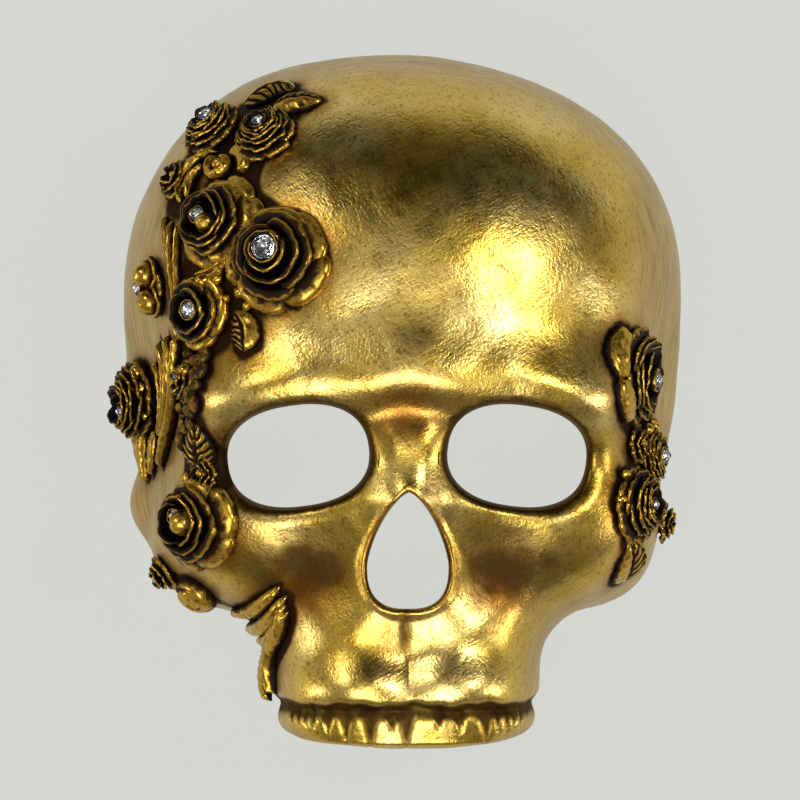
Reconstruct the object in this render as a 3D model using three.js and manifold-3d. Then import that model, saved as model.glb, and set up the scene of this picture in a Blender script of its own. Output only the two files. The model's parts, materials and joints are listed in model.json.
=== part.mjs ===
// A venetian skull mask: a hollow papier-mache shell with gold leaf, and cast roses, leaves,
// stems and scrolls along both temples, most roses with a clear crystal in a cup at their heart.
// The mask lies on its back. +Z runs from the rim to the face, +Y up the face and +X to the
// right of someone who looks at it. The rim of the crown and temples is the plane z = 0.

import * as THREE from "three";
import { mergeVertices } from "three/addons/utils/BufferGeometryUtils.js";
import Module from "manifold-3d";

const wasm = await Module();
wasm.setup();

// Head: half an egg, whose widest line is the level of CROWN_Y
const HEAD_HALF_WIDTH = 88;
const HEAD_DEPTH = 84;
const HEAD_POWER = 2.2;
const CROWN_Y = 33;
const CROWN_RISE = 75.8;
const FACE_DROP = 136;
const CROWN_LEAN = 4.2;
const CROWN_LEAN_FROM = 62;
const CROWN_LEAN_OVER = 43;

// Wall of the shell, the lowest tooth edge, and how high the edge is trimmed under the jaw
const WALL = 3;
const CHEEK_BOTTOM = -66;
const TOOTH_BOTTOM = -105;
const JAW_TRIM = 50;
const JAW_TRIM_INNER = 25;
const JAW_TRIM_OUTER = 88;

// Eye holes: a rounded oval that droops at its outer end
const EYE_X = 33;
const EYE_Y = -16.8;
const EYE_HALF_LENGTH = 21.3;
const EYE_HALF_HEIGHT = 15.2;
const EYE_POWER = 2.35;
const EYE_DROOP = THREE.MathUtils.degToRad(8);
const SOCKET_DEPTH = 6.4;

// Nose hole: a pear, pointed above and blunt below
const NOSE_TOP = -27.5;
const NOSE_WAIST = -50;
const NOSE_BOTTOM = -62.6;
const NOSE_HALF_WIDTH = 12.2;

// Teeth: the gaps between them, along the front of the jaw, and the gum line above them
const TOOTH_GAPS = [-37, -33.5, -29.5, -24.5, -18, -12, -4, 2.5, 10.5, 17, 23, 28, 32.5, 36.5];
const GUM_Y = -91;
const GAP_DEPTH = 1.5;
const GAP_RISE = 1.2;
const GAP_HALF_WIDTH = 2.34;
const TOOTH_LEVELS = [-92, -98, -106];
const ARCH_DEPTH = 34;
const ARCH_HEIGHT = 40;

// Clearance between glued pieces, and how far a cast piece is cut clear of the one before it
const GAP = 0.6;
const CAST_GAP = 0.35;

// Mesh counts of the shell, and how much closer its columns stand at the crown than at the jaw
const OUTER_COLUMNS = 54;
const OUTER_ROWS = 20;
const INNER_COLUMNS = 30;
const INNER_ROWS = 11;
const CROWN_CROWDING = 0.3;
const EYE_SIDES = 24;
const NOSE_SIDES = 24;

// Rays towards the skull: where they start over the face and beside it, where they give up,
// the steps they take and how often the last step is halved
const RAY_START = 130;
const SIDE_RAY_START = 190;
const RAY_END = -20;
const RAY_STEP = 1.5;
const HALVINGS = 18;

// A column of the shell turns from straight down to level about a pivot, this far inside the
// edge at the crown and at the jaw, and this far over the edge
const PIVOT_INSET = 20;
const PIVOT_INSET_JAW = 14;
const PIVOT_LIFT = 8;
const JAW_AZIMUTH = 0.9;
const JAW_BLEND = 0.7;
const COLUMN_STEPS = 32;
const NOSE_START = 0.86;
const RIM_FAN = 0.8;
const INNER_SKIRT = 12;
const CUT_LOW = -20;
const CUT_HIGH = 110;

// Vectors are arrays of three numbers
const add = (a, b, s = 1) => [a[0] + b[0] * s, a[1] + b[1] * s, a[2] + b[2] * s];
const dot = (a, b) => a[0] * b[0] + a[1] * b[1] + a[2] * b[2];
const cross = (a, b) => [
  a[1] * b[2] - a[2] * b[1],
  a[2] * b[0] - a[0] * b[2],
  a[0] * b[1] - a[1] * b[0],
];
const unit = (a) => add([0, 0, 0], a, 1 / Math.hypot(...a));
const mix = (a, b, t) => a + (b - a) * t;
const smooth = (t) => {
  const c = Math.min(Math.max(t, 0), 1);
  return c * c * (3 - 2 * c);
};

// Smooth union and difference of two distance values, blended over k millimetres
function join(a, b, k) {
  const h = Math.max(k - Math.abs(a - b), 0) / k;
  return Math.min(a, b) - (h * h * k) / 4;
}
const carve = (a, b, k) => -join(-a, b, k);

// Distance, near the surface, to an egg of three radii with a roundness power
function egg(p, centre, radii, power = 2) {
  const q = [0, 1, 2].map((i) => Math.abs(p[i] - centre[i]) / radii[i]);
  const k = Math.max(q.reduce((s, v) => s + v ** power, 0) ** (1 / power), 1e-6);
  const slopes = q.map((v, i) => v ** (power - 1) / radii[i]);
  const slope = Math.hypot(...slopes) / k ** (power - 1);
  return (k - 1) / Math.max(slope, 1e-6);
}

// Distance to a round bar from a to b, whose radius runs from ra to rb
function bar(p, a, b, ra, rb) {
  const d = add(b, a, -1);
  const t = Math.min(Math.max(dot(add(p, a, -1), d) / dot(d, d), 0), 1);
  return Math.hypot(...add(add(p, a, -1), d, -t)) - mix(ra, rb, t);
}

// The skull: below zero inside, zero on the surface. The crown leans a little to one side.
function skull(point) {
  const [x0, y, z] = point;
  const x = x0 + CROWN_LEAN * Math.max((y - CROWN_LEAN_FROM) / CROWN_LEAN_OVER, 0) ** 2;
  const p = [x, y, z];
  const m = [Math.abs(x), y, z];
  const reach = y > CROWN_Y ? CROWN_RISE : FACE_DROP;
  let f = egg(p, [0, CROWN_Y, 0], [HEAD_HALF_WIDTH, reach, HEAD_DEPTH], HEAD_POWER);
  f = carve(f, y - CHEEK_BOTTOM + 0.03 * m[0], 16);
  f = join(f, egg(m, [50, -37, 39], [20, 19, 22], 2.2), 16); // cheekbone
  f = join(f, egg(m, [66, -42, 10], [12, 17, 26]), 12); // cheek arch
  f = join(f, egg(p, [-78, -33, 4], [8, 9, 14]), 8); // worn lump on the left edge
  f = join(f, egg(p, [0, -82, 16], [42, 50, 56], 2.9), 16); // upper jaw
  f = join(f, egg(m, [30, 1, 60], [32, 11, 20]), 18); // brow
  f = join(f, egg(p, [0, 8, 60], [16, 13, 22]), 16); // between the brows
  f = carve(f, egg(m, [98, 0, 50], [22, 34, 32]), 20); // temple hollow
  f = carve(f, egg(m, [27, -50, 86], [12, 12, 17]), 14); // hollow beside the nose
  f = carve(f, egg(p, [0, -5, 94], [20, 6, 13]), 8); // root of the nose
  f = join(f, bar(p, [0, -9, 70], [0, -29, 77], 8, 7.5), 9); // nasal bone
  f = carve(f, egg(p, [0, -76, 92], [13, 7, 20.5]), 10); // hollow under the nose
  f = join(f, egg(m, [15, -86, 52], [16, 6, 21.5]), 8); // roll of the gums
  return carve(f, y - TOOTH_BOTTOM - 3.5 * (x / 38) ** 2, 4);
}

// Outward direction of the skull's surface
function outward(p) {
  const step = 0.05;
  const along = [0, 1, 2].map((i) => {
    const e = [0, 0, 0];
    e[i] = step;
    return skull(add(p, e)) - skull(add(p, e, -1));
  });
  return unit(along);
}

// The outermost point at a given level on a ray, searched from far out towards its start
function meet(start, direction, level = 0, far = RAY_START) {
  const value = (t) => skull(add(start, direction, t)) - level;
  let t = far;
  while (t > RAY_END && value(t) > 0) t -= RAY_STEP;
  let outer = t + RAY_STEP;
  for (let i = 0; i < HALVINGS; i += 1) {
    const middle = (t + outer) / 2;
    if (value(middle) > 0) outer = middle;
    else t = middle;
  }
  return add(start, direction, t);
}
const above = (x, y, level = 0) => meet([x, y, 0], [0, 0, 1], level)[2];

// Nose outline: distance from its waist in a plan direction, found by halving
function noseRadius(azimuth, share) {
  const reach = (r) => {
    const x = Math.abs(r * Math.sin(azimuth));
    const y = -r * Math.cos(azimuth);
    const rise = y > 0 ? y / (NOSE_TOP - NOSE_WAIST) : y / (NOSE_WAIST - NOSE_BOTTOM);
    const power = y > 0 ? 1.45 : 2.6;
    return ((x / NOSE_HALF_WIDTH) ** power + Math.abs(rise) ** power) ** (1 / power);
  };
  let low = 0;
  let high = EYE_HALF_LENGTH * 2;
  for (let i = 0; i < HALVINGS; i += 1) {
    const middle = (low + high) / 2;
    if (reach(middle) > share) high = middle;
    else low = middle;
  }
  return low;
}

// Eye outline, grown by some millimetres, at an angle around the hole
function eyePoint(side, angle, grow) {
  const bend = (v) => Math.sign(v) * Math.abs(v) ** (2 / EYE_POWER);
  const u = (EYE_HALF_LENGTH + grow) * bend(Math.cos(angle));
  const v = (EYE_HALF_HEIGHT + grow) * bend(Math.sin(angle));
  const dx = u * Math.cos(EYE_DROOP) + v * Math.sin(EYE_DROOP);
  const dy = v * Math.cos(EYE_DROOP) - u * Math.sin(EYE_DROOP);
  return [side * (EYE_X + dx), EYE_Y + dy];
}

// Height of the trimmed edge: flat round the crown and temples, high under the jaw
function trimHeight(azimuth) {
  const degrees = Math.abs(THREE.MathUtils.radToDeg(azimuth));
  const t = (degrees - JAW_TRIM_INNER) / (JAW_TRIM_OUTER - JAW_TRIM_INNER);
  return JAW_TRIM * (1 - smooth(t));
}

// One column of the shell from the nose hole to the trimmed edge, in even steps. Its rays come
// straight down over the face, turn about a pivot near the side, and then lie level. An
// azimuth of zero points down to the teeth.
function column(azimuth, rows, level) {
  const out = [Math.sin(azimuth), -Math.cos(azimuth), 0];
  const centre = [0, NOSE_WAIST, 0];
  const trim = trimHeight(azimuth);
  const edge = meet(add(centre, [0, 0, trim]), out, level, SIDE_RAY_START);
  const reach = Math.hypot(edge[0], edge[1] - NOSE_WAIST);
  const jaw = 1 - smooth((Math.abs(azimuth) - JAW_AZIMUTH) / JAW_BLEND);
  const turn = mix(PIVOT_INSET, PIVOT_INSET_JAW, jaw);
  const pivot = add(add(centre, out, reach - turn), [0, 0, trim + PIVOT_LIFT]);
  const first = noseRadius(azimuth, NOSE_START);
  const points = [];
  const steps = COLUMN_STEPS;
  for (let i = 0; i <= steps; i += 1) {
    const r = mix(first, reach - turn, i / steps);
    points.push(meet(add(centre, out, r), [0, 0, 1], level));
  }
  for (let i = 1; i <= steps / 2; i += 1) {
    const tilt = ((Math.PI / 2) * i) / (steps / 2);
    const ray = add([0, 0, Math.cos(tilt)], out, Math.sin(tilt));
    points.push(meet(pivot, ray, level));
  }
  points.push(edge);
  const lengths = [0];
  for (let i = 1; i < points.length; i += 1) {
    lengths.push(lengths[i - 1] + Math.hypot(...add(points[i], points[i - 1], -1)));
  }
  const whole = lengths[lengths.length - 1];
  const even = [];
  let k = 1;
  for (let row = 0; row < rows; row += 1) {
    const want = (whole * row) / (rows - 1);
    while (k < points.length - 1 && lengths[k] < want) k += 1;
    const t = (want - lengths[k - 1]) / (lengths[k] - lengths[k - 1]);
    even.push(add(points[k - 1], add(points[k], points[k - 1], -1), t));
  }
  even[rows - 1] = edge;
  return even;
}

// A closed solid from loops of points: a cap at each end, about the given end points
function loft(loops, startPoint, endPoint) {
  const n = loops[0].length;
  const vertices = [startPoint, ...loops.flat(), endPoint];
  const last = vertices.length - 1;
  const at = (loop, i) => 1 + loop * n + (i % n);
  const faces = [];
  for (let i = 0; i < n; i += 1) {
    faces.push([0, at(0, i), at(0, i + 1)]);
    faces.push([last, at(loops.length - 1, i + 1), at(loops.length - 1, i)]);
    for (let k = 0; k + 1 < loops.length; k += 1) {
      faces.push([at(k, i), at(k + 1, i), at(k + 1, i + 1)]);
      faces.push([at(k, i), at(k + 1, i + 1), at(k, i + 1)]);
    }
  }
  const make = (list) =>
    new wasm.Manifold(
      new wasm.Mesh({
        numProp: 3,
        vertProperties: new Float32Array(vertices.flat()),
        triVerts: new Uint32Array(list.flat()),
      }),
    );
  const solid = make(faces);
  return solid.volume() > 0 ? solid : make(faces.map(([a, b, c]) => [a, c, b]));
}

// The mean point of a loop, moved up or down
const middleOf = (loop, dz = 0) => {
  const sum = loop.reduce((s, p) => add(s, p), [0, 0, 0]);
  return add(add([0, 0, 0], sum, 1 / loop.length), [0, 0, dz]);
};

const turns = (count) => Array.from({ length: count }, (_, i) => (2 * Math.PI * i) / count);

// Azimuths of the shell's columns, from straight down to the teeth and once round
function azimuths(count) {
  return turns(count).map((a) => {
    const signed = a > Math.PI ? a - 2 * Math.PI : a;
    return signed + CROWN_CROWDING * Math.sin(signed);
  });
}

// Everything inside one level of the skull, closed below by a flat band and a fan
function headSolid(columns, rows, level, skirt) {
  const lines = azimuths(columns).map((a) => column(a, rows, level));
  const loops = Array.from({ length: rows }, (_, row) => lines.map((line) => line[row]));
  const rim = loops[rows - 1];
  if (skirt > 0) {
    loops.push(rim.map(([x, y]) => [x, y, -skirt]));
  } else {
    loops.push(rim.map(([x, y, z]) => [x * RIM_FAN, mix(NOSE_WAIST, y, RIM_FAN), z]));
  }
  const pole = [0, NOSE_WAIST, above(0, NOSE_WAIST, level)];
  return loft(loops, pole, [0, NOSE_WAIST, -skirt]);
}

// The funnel of one eye socket: loops of [growth of the eye outline, height over the skull]. A
// wall makes it larger all round.
const FUNNEL = [
  [0, -SOCKET_DEPTH],
  [4, -1.8],
  [9, 0.1],
  [11, 6],
];
function socket(side, wall) {
  const loop = (grow, dz) =>
    turns(EYE_SIDES).map((t) => {
      const [x, y] = eyePoint(side, t, grow + wall);
      return [x, y, above(x, y) + dz];
    });
  const loops = FUNNEL.map(([grow, dz], i) => loop(grow, i ? dz : dz - wall / 3));
  return loft(loops, middleOf(loops[0]), middleOf(loops[3], 2));
}

// A straight-sided cutter through the shell
function throughHole(outline) {
  const loops = [CUT_LOW, CUT_HIGH].map((z) => outline.map(([x, y]) => [x, y, z]));
  return loft(loops, middleOf(loops[0]), middleOf(loops[1]));
}

// A V-shaped cutter along a line of surface points, wide across the given direction
function groove(points, across) {
  const loops = points.map((p) => {
    const n = outward(p);
    return [
      add(p, n, -GAP_DEPTH),
      add(add(p, n, GAP_RISE), across, GAP_HALF_WIDTH),
      add(add(p, n, GAP_RISE), across, -GAP_HALF_WIDTH),
    ];
  });
  return loft(loops, middleOf(loops[0]), middleOf(loops[loops.length - 1]));
}

function shellSolid() {
  const outer = headSolid(OUTER_COLUMNS, OUTER_ROWS, 0, 0);
  const inner = headSolid(INNER_COLUMNS, INNER_ROWS, -WALL, INNER_SKIRT);
  let solid = outer;
  let hollow = inner;
  for (const side of [-1, 1]) {
    solid = solid.subtract(socket(side, 0));
    hollow = hollow.subtract(socket(side, WALL));
  }
  solid = solid.subtract(hollow);
  for (const side of [-1, 1]) {
    solid = solid.subtract(throughHole(turns(EYE_SIDES).map((t) => eyePoint(side, t, 0))));
  }
  const nose = turns(NOSE_SIDES).map((a) => {
    const r = noseRadius(a, 1);
    return [r * Math.sin(a), NOSE_WAIST - r * Math.cos(a)];
  });
  solid = solid.subtract(throughHole(nose));
  for (const x of TOOTH_GAPS) {
    const front = meet([0, GUM_Y - 6, ARCH_HEIGHT], unit([x, 0, ARCH_DEPTH]));
    const line = TOOTH_LEVELS.map((y) => [front[0], y, front[2]]);
    solid = solid.subtract(groove(line, unit(cross([0, 1, 0], outward(line[1])))));
  }
  return solid;
}

// A place on the skull, given by the angle round it from the front and the height up the face,
// with directions right, up and outward that lie along and off its surface
function place(angle, y) {
  const a = THREE.MathUtils.degToRad(angle);
  const point = meet([0, y, 0], [Math.sin(a), 0, Math.cos(a)]);
  const out = outward(point);
  const right = unit(cross([0, 1, 0], out));
  return { point, out, right, up: cross(out, right) };
}

// The skull's surface under a point, along a direction, lifted by a gap
const SETTLE_FROM = 16;
const settle = (p, out, lift) => meet(add(p, out, -SETTLE_FROM), out, lift, 2 * SETTLE_FROM + 2);

// Height of a crystal's seat over the place of its casting: half the casting's height over a
// share of the skull's fall below the heart, and never lower than the least thickness
const LEAST_THICKNESS = 0.8;
const SEAT_SHARE = 0.6;
function seatHeight(at, spec) {
  const [u, v] = spec.heart ?? [0, 0];
  const base = settle(add(add(at.point, at.right, u), at.up, v), at.out, GAP);
  const drop = dot(add(base, at.point, -1), at.out);
  return Math.max(drop * SEAT_SHARE + spec.height * 0.5, drop + LEAST_THICKNESS);
}

// Play round a crystal in its cup, and the cup wall's thickness
const CUP_PLAY = 0.35;
const CUP_WALL = 0.45;

// A cast rosette: rings of [share of the radius, share of the height] from its heart to its
// edge. Its heart lies off the middle, as petals open to one side, and its back follows the
// skull. A cup is a flat-bottomed seat for a crystal, and rings that it would meet are left out.
function rosette(spec, grow = 0) {
  const at = place(spec.angle, spec.y);
  const radius = spec.radius + grow;
  const height = spec.height + grow;
  const heart = spec.heart ?? [0, 0];
  const stretch = spec.stretch ?? 1;
  const plane = (share, turn, reach) => {
    const ripple = 1 + (spec.ripple ?? 0.07) * Math.cos(spec.petals * turn + 2.6 * share);
    const r = reach * (share > 0.4 ? ripple : 1);
    const u = heart[0] * (1 - share) + r * Math.cos(turn);
    const v = heart[1] * (1 - share) + r * Math.sin(turn) * stretch;
    return add(add(at.point, at.right, u), at.up, v);
  };
  const sit = (p, h, bend) => {
    const base = settle(p, at.out, GAP - grow);
    const drop = dot(add(base, at.point, -1), at.out);
    return add(p, at.out, Math.max(drop * bend + h, drop + LEAST_THICKNESS));
  };
  const loops = [];
  const cup = spec.crystal && !grow ? spec.crystal + CUP_PLAY : 0;
  const seat = seatHeight(at, spec);
  if (cup) {
    const flat = (r, h) => turns(spec.sides).map((t) => add(plane(0, t, r), at.out, h));
    loops.push(flat(cup, seat), flat(cup + CUP_WALL, seat + height * CUP_WALL));
  }
  const lean = Math.hypot(...heart);
  for (const [share, tall] of spec.rings) {
    if (cup && (radius - lean) * share < cup + CUP_WALL + 0.05) continue;
    loops.push(
      turns(spec.sides).map((t) => sit(plane(share, t, radius * share), height * tall, 0.85)),
    );
  }
  for (const share of spec.back) {
    loops.push(
      turns(spec.sides).map((t) => settle(plane(share, t, radius * share), at.out, GAP - grow)),
    );
  }
  const middle = plane(0, 0, 0);
  const top = cup ? add(middle, at.out, seat) : sit(middle, height * (spec.dome ?? 0.95), 0.6);
  return loft(loops, top, settle(middle, at.out, GAP - grow));
}

// A crystal in its cup: a flat-topped cut stone with a narrow foot, as rings of [radius, height],
// both as shares of the stone's radius
const CRYSTAL_FOOT_GAP = 0.3;
const CRYSTAL_RINGS = [
  [0.5, 0],
  [1, 0.6],
  [0.6, 1.1],
];
function crystalSolid(spec) {
  const at = place(spec.angle, spec.y);
  const heart = spec.heart ?? [0, 0];
  const middle = add(add(at.point, at.right, heart[0]), at.up, heart[1]);
  const foot = seatHeight(at, spec) + CRYSTAL_FOOT_GAP;
  const r = spec.crystal;
  const ring = (radius, rise) =>
    turns(r > 3 ? 8 : 6).map((t) => {
      const p = add(add(middle, at.right, radius * Math.cos(t)), at.up, radius * Math.sin(t));
      return add(p, at.out, foot + rise);
    });
  const loops = CRYSTAL_RINGS.map(([wide, high]) => ring(r * wide, r * high));
  return loft(loops, middleOf(loops[0]), middleOf(loops[2]));
}

// A strip laid on the skull along points of [angle, height up the face]: a leaf, ribbon or
// stem. Its half width swells and narrows along it, and its back is as wide as its front.
function strip(spec, grow = 0) {
  const guide = new THREE.CatmullRomCurve3(
    spec.path.map(([angle, y]) => new THREE.Vector3(...place(angle, y).point)),
  );
  const rows = spec.rows ?? 6;
  const loops = [];
  for (let i = 0; i < rows; i += 1) {
    const t = i / (rows - 1);
    const here = guide.getPointAt(t).toArray();
    const along = guide.getTangentAt(t).toArray();
    const out = outward(settle(here, outward(here), 0));
    const side = unit(cross(along, out));
    const swell = mix(spec.tip ?? 0.25, 1, Math.sin(Math.PI * t ** (spec.belly ?? 1)) ** 0.8);
    const half = spec.width * 0.5 * swell + grow;
    const tall = spec.height * mix(0.45, 1, swell) + grow;
    const edge = (share, rise) => {
      const p = settle(add(here, side, share * half), out, GAP - grow);
      return add(p, out, rise);
    };
    loops.push([
      edge(-1, 0),
      edge(1, 0),
      edge(0.92, tall * 0.55),
      edge(0, tall),
      edge(-0.92, tall * 0.55),
    ]);
  }
  return loft(loops, middleOf(loops[0]), middleOf(loops[rows - 1]));
}

// Ring profiles of the cast pieces
const FULL_ROSE = [
  [0.42, 0.6],
  [0.54, 0.9],
  [0.68, 0.42],
  [0.82, 0.62],
  [1, 0.24],
];
const SMALL_ROSE = [
  [0.5, 0.62],
  [0.68, 0.86],
  [1, 0.26],
];
const FLOWER = [
  [0.34, 0.55],
  [0.7, 0.85],
  [1, 0.3],
];
const DOME = [
  [0.45, 0.9],
  [0.82, 0.62],
  [1, 0.24],
];

const rose = (name, angle, y, radius, height, heart, crystal) => ({
  name,
  angle,
  y,
  radius,
  height,
  heart,
  crystal,
  petals: 5,
  sides: radius > 9.5 ? 15 : 13,
  rings: radius > 9.5 ? FULL_ROSE : SMALL_ROSE,
  back: radius > 12 ? [0.98, 0.66, 0.33] : [0.98, 0.5],
});
const flower = (name, angle, y, radius, height, crystal = 0) => ({
  name,
  angle,
  y,
  radius,
  height,
  crystal,
  petals: 5,
  ripple: 0.14,
  sides: 10,
  rings: FLOWER,
  dome: 0.7,
  back: [0.95],
});
const boss = (name, angle, y, radius, height, stretch = 1, heart = [0, 0], crystal = 0) => ({
  name,
  angle,
  y,
  radius,
  height,
  stretch,
  heart,
  crystal,
  petals: 2,
  ripple: 0.05,
  sides: 10,
  rings: DOME,
  back: [0.95],
});
const leaf = (name, width, height, path) => ({ name, width, height, path, belly: 1.15 });
const ribbon = (name, width, height, tip, path) => ({ name, width, height, tip, path });

// The castings in the order in which they were glued on; a later one is cut clear of an
// earlier one. Angles are degrees round the skull from the front, lengths millimetres.
const castings = [
  rose("rose_forehead", -26.5, 42, 15.4, 8.5, [-2.6, 2.8], 3.6),
  rose("rose_temple_top", -41, 53, 12.6, 8, [-5, 1.4], 2),
  rose("rose_temple_middle", -44, 26.5, 10.4, 7, [-1.4, 0.6], 2.3),
  rose("rose_cheek_left", -47.5, -37.5, 13.4, 8.5, [-3.8, 2.8], 2),
  rose("rose_temple_low", -77.5, 0.5, 11.4, 9, [-4, -4], 2.4),
  rose("rose_crown_left", -54, 82, 9.2, 6.5, [-1.4, 2.6], 2.6),
  rose("rose_crown_right", -35.5, 79.5, 9, 6.2, [-2, 2.4], 2.1),
  rose("rose_brow_right", 53.5, 7.5, 14.4, 8, [7.4, -1], 2.3),
  rose("rose_eye_right", 67.5, -17, 8.2, 6, [2.2, -0.6], 2.2),
  rose("rose_cheek_right", 53.5, -32, 11, 7, [5, -0.5], 1.8),
  flower("flower_crown", -57.5, 67, 6, 4.6),
  flower("flower_temple", -47.5, 7, 5.2, 4.4, 1.6),
  flower("flower_cheek", -45.5, -22.5, 4.6, 3.6),
  flower("flower_brow_right", 57, -13.5, 5.2, 4.4),
  boss("bud_temple", -61, 34.5, 6.6, 7, 1.45, [-2, 0.5], 1.7),
  boss("bud_cheek", -69.5, -53, 5, 5, 1, [-1, -0.6], 1.7),
  boss("bud_cheek_right", 80, -38.5, 4.8, 4.5),
  boss("curl_cheek", -63, -58.5, 7.4, 5),
  leaf("leaf_crown_left", 8, 2.8, [[-48, 91.5], [-44.5, 94], [-40, 95]]),
  leaf("leaf_crown_right", 7.5, 2.8, [[-38, 90.5], [-32, 89.5], [-27.5, 88.5]]),
  leaf("leaf_forehead", 8, 2.6, [[-37, 26.5], [-33.5, 21.5], [-31, 16.5]]),
  leaf("leaf_eye_left", 10.4, 2.4, [[-46.5, -19.5], [-46, -14], [-44, -8.5]]),
  leaf("leaf_brow_right", 7, 3.4, [[45.5, 18], [42.5, 11.5], [43, 3.5], [48, -4]]),
  leaf("leaf_cheek_right", 10.5, 2.4, [[58.5, -56], [55, -50], [53.5, -44.5]]),
  leaf("leaf_temple_low", 8, 3.2, [[-77.5, -12], [-75, -18], [-72, -25]]),
  leaf("leaf_hanging_top", 7, 2.8, [[-31, -63], [-35.5, -70], [-43, -77]]),
  leaf("leaf_hanging_low", 7, 2.4, [[-42, -77.5], [-47, -84.5], [-57, -92]]),
  ribbon("scroll_crown", 8, 4, 0.6, [[-40.5, 72.5], [-45, 70], [-49, 67], [-53, 63.5]]),
  ribbon("scroll_temple_top", 5, 3, 0.5, [[-41, 65.5], [-36, 61.5], [-33.5, 56.5], [-34.5, 51]]),
  ribbon("scroll_temple_low", 4.6, 3, 0.6, [[-45.5, 37], [-41, 38.5], [-37, 43]]),
  ribbon("ribbon_cheek", 6.5, 3.4, 0.5, [[-54, -65], [-43, -64.5], [-35, -61], [-31, -56.5]]),
  ribbon("stem_temple", 4.2, 4, 0.7, [[-53, 53.5], [-51.5, 42.5], [-50.5, 30], [-51, 17.5]]),
  ribbon("plume_temple", 12, 5, 0.5, [[-55, 14], [-53, 5], [-56, -8], [-62, -21]]),
];

const GOLD_LEAF = { color: 0xc9a24b, roughness: 0.34, metalness: 0.9 };
const ANTIQUE_GOLD = { color: 0x8a6a2c, roughness: 0.42, metalness: 0.85 };
const CRYSTAL = { color: 0xdfe7f2, roughness: 0.05, metalness: 0 };

const mask = new THREE.Group();

function addPiece(name, solid, finish) {
  const got = solid.getMesh();
  const geometry = new THREE.BufferGeometry();
  geometry.setAttribute("position", new THREE.BufferAttribute(got.vertProperties, 3));
  geometry.setIndex(new THREE.BufferAttribute(got.triVerts, 1));
  const mesh = new THREE.Mesh(mergeVertices(geometry), new THREE.MeshStandardMaterial(finish));
  mesh.name = name;
  mask.add(mesh);
}

const meets = (a, b) =>
  [0, 1, 2].every((i) => a.min[i] < b.max[i] && b.min[i] < a.max[i]);
const largest = (solid) =>
  solid.decompose().reduce((best, part) => (part.volume() > best.volume() ? part : best));

addPiece("mask_shell", shellSolid(), GOLD_LEAF);
const placed = [];
for (const spec of castings) {
  const build = spec.path ? strip : rosette;
  let solid = build(spec);
  for (const cutter of placed) {
    if (meets(solid.boundingBox(), cutter.boundingBox())) solid = solid.subtract(cutter);
  }
  placed.push(build(spec, CAST_GAP));
  addPiece(spec.name, largest(solid), ANTIQUE_GOLD);
  if (spec.crystal) addPiece(`crystal_${spec.name}`, crystalSolid(spec), CRYSTAL);
}

// The origin is the middle of the whole mask's box, on the plane of the rim
const box = new THREE.Box3().setFromObject(mask);
mask.position.set(-(box.min.x + box.max.x) / 2, -(box.min.y + box.max.y) / 2, -box.min.z);

export default mask;
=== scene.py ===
# %% [markdown]
# # A gilded skull mask with a garland of roses
#
# The real mask is a shell of papier-mache pressed into a mould, covered with gold leaf and rubbed
# with a dark glaze. Resin castings of roses, leaves and scrolls are glued along both temples, and
# clear cut stones sit in the hearts of the roses. This lesson rebuilds it as surfaces that are
# worked out with arrays of numbers. The solid model of the same mask is already in place, and
# every finer piece here sits exactly where its solid sits.

# %% Load the frame
import json
import math
import bmesh
import bpy
import numpy as np
from mathutils import Matrix, Vector


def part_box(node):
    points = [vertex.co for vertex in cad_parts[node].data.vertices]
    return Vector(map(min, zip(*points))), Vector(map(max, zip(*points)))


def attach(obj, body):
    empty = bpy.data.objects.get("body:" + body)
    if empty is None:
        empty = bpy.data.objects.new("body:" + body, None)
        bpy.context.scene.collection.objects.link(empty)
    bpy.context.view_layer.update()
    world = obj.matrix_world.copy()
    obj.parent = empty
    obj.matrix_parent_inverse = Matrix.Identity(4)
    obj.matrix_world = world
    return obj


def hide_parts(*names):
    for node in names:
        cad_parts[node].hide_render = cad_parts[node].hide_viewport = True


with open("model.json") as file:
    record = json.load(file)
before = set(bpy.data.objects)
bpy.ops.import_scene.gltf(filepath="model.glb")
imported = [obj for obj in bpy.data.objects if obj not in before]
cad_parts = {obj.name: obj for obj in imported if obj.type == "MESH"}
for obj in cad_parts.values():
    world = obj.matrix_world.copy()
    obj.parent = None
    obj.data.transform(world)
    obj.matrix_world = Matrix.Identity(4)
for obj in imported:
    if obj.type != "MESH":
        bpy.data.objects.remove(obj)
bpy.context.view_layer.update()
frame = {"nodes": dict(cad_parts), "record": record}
print("solid pieces in the frame:", len(frame["nodes"]))

# %% [markdown]
# ## Where the face is
#
# The sizes below are millimetres in the face's own axes: x to the right, y up the face and z out
# of it, with x = 0 on the line of the nose. The frame's origin is the middle of the mask's box
# instead. The two temple points of the rim, which the frame records, give the step between them.

# %% Face axes
MM = 0.001
HEAD_HALF_WIDTH = 88.0
CROWN_Y = 33.0
WALL = 3.0

mounts = {mount["name"]: mount["pos_m"] for mount in frame["record"]["mounts"]}
temples = np.array([mounts["rim_left_temple"], mounts["rim_right_temple"]]) / MM
FACE_STEP = temples.mean(0) - np.array([0.0, CROWN_Y, 0.0])


def to_frame(points):
    """Face millimetres to metres in the frame: add the step, then divide by a thousand."""
    return (np.asarray(points) + FACE_STEP) * MM


print("the face's middle lies at", FACE_STEP.round(2), "mm in the frame")

# %% [markdown]
# ## Camera, table and light
#
# The photograph looks squarely at the face from about 1.2 m with a long lens, a hair from the
# left. The mask lies on its back, so that camera looks straight down. The camera could be aimed
# with a constraint, but three directions at right angles say the same and can be read.

# %% Camera
CAMERA_DISTANCE = 1200.0
CAMERA_YAW = -0.0225
FACE_PLANE = 70.0
FRAME_CENTRE = -2.4
LENS = 180.0
SENSOR = 36.0
NEAREST_VIEW = 0.05

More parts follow.
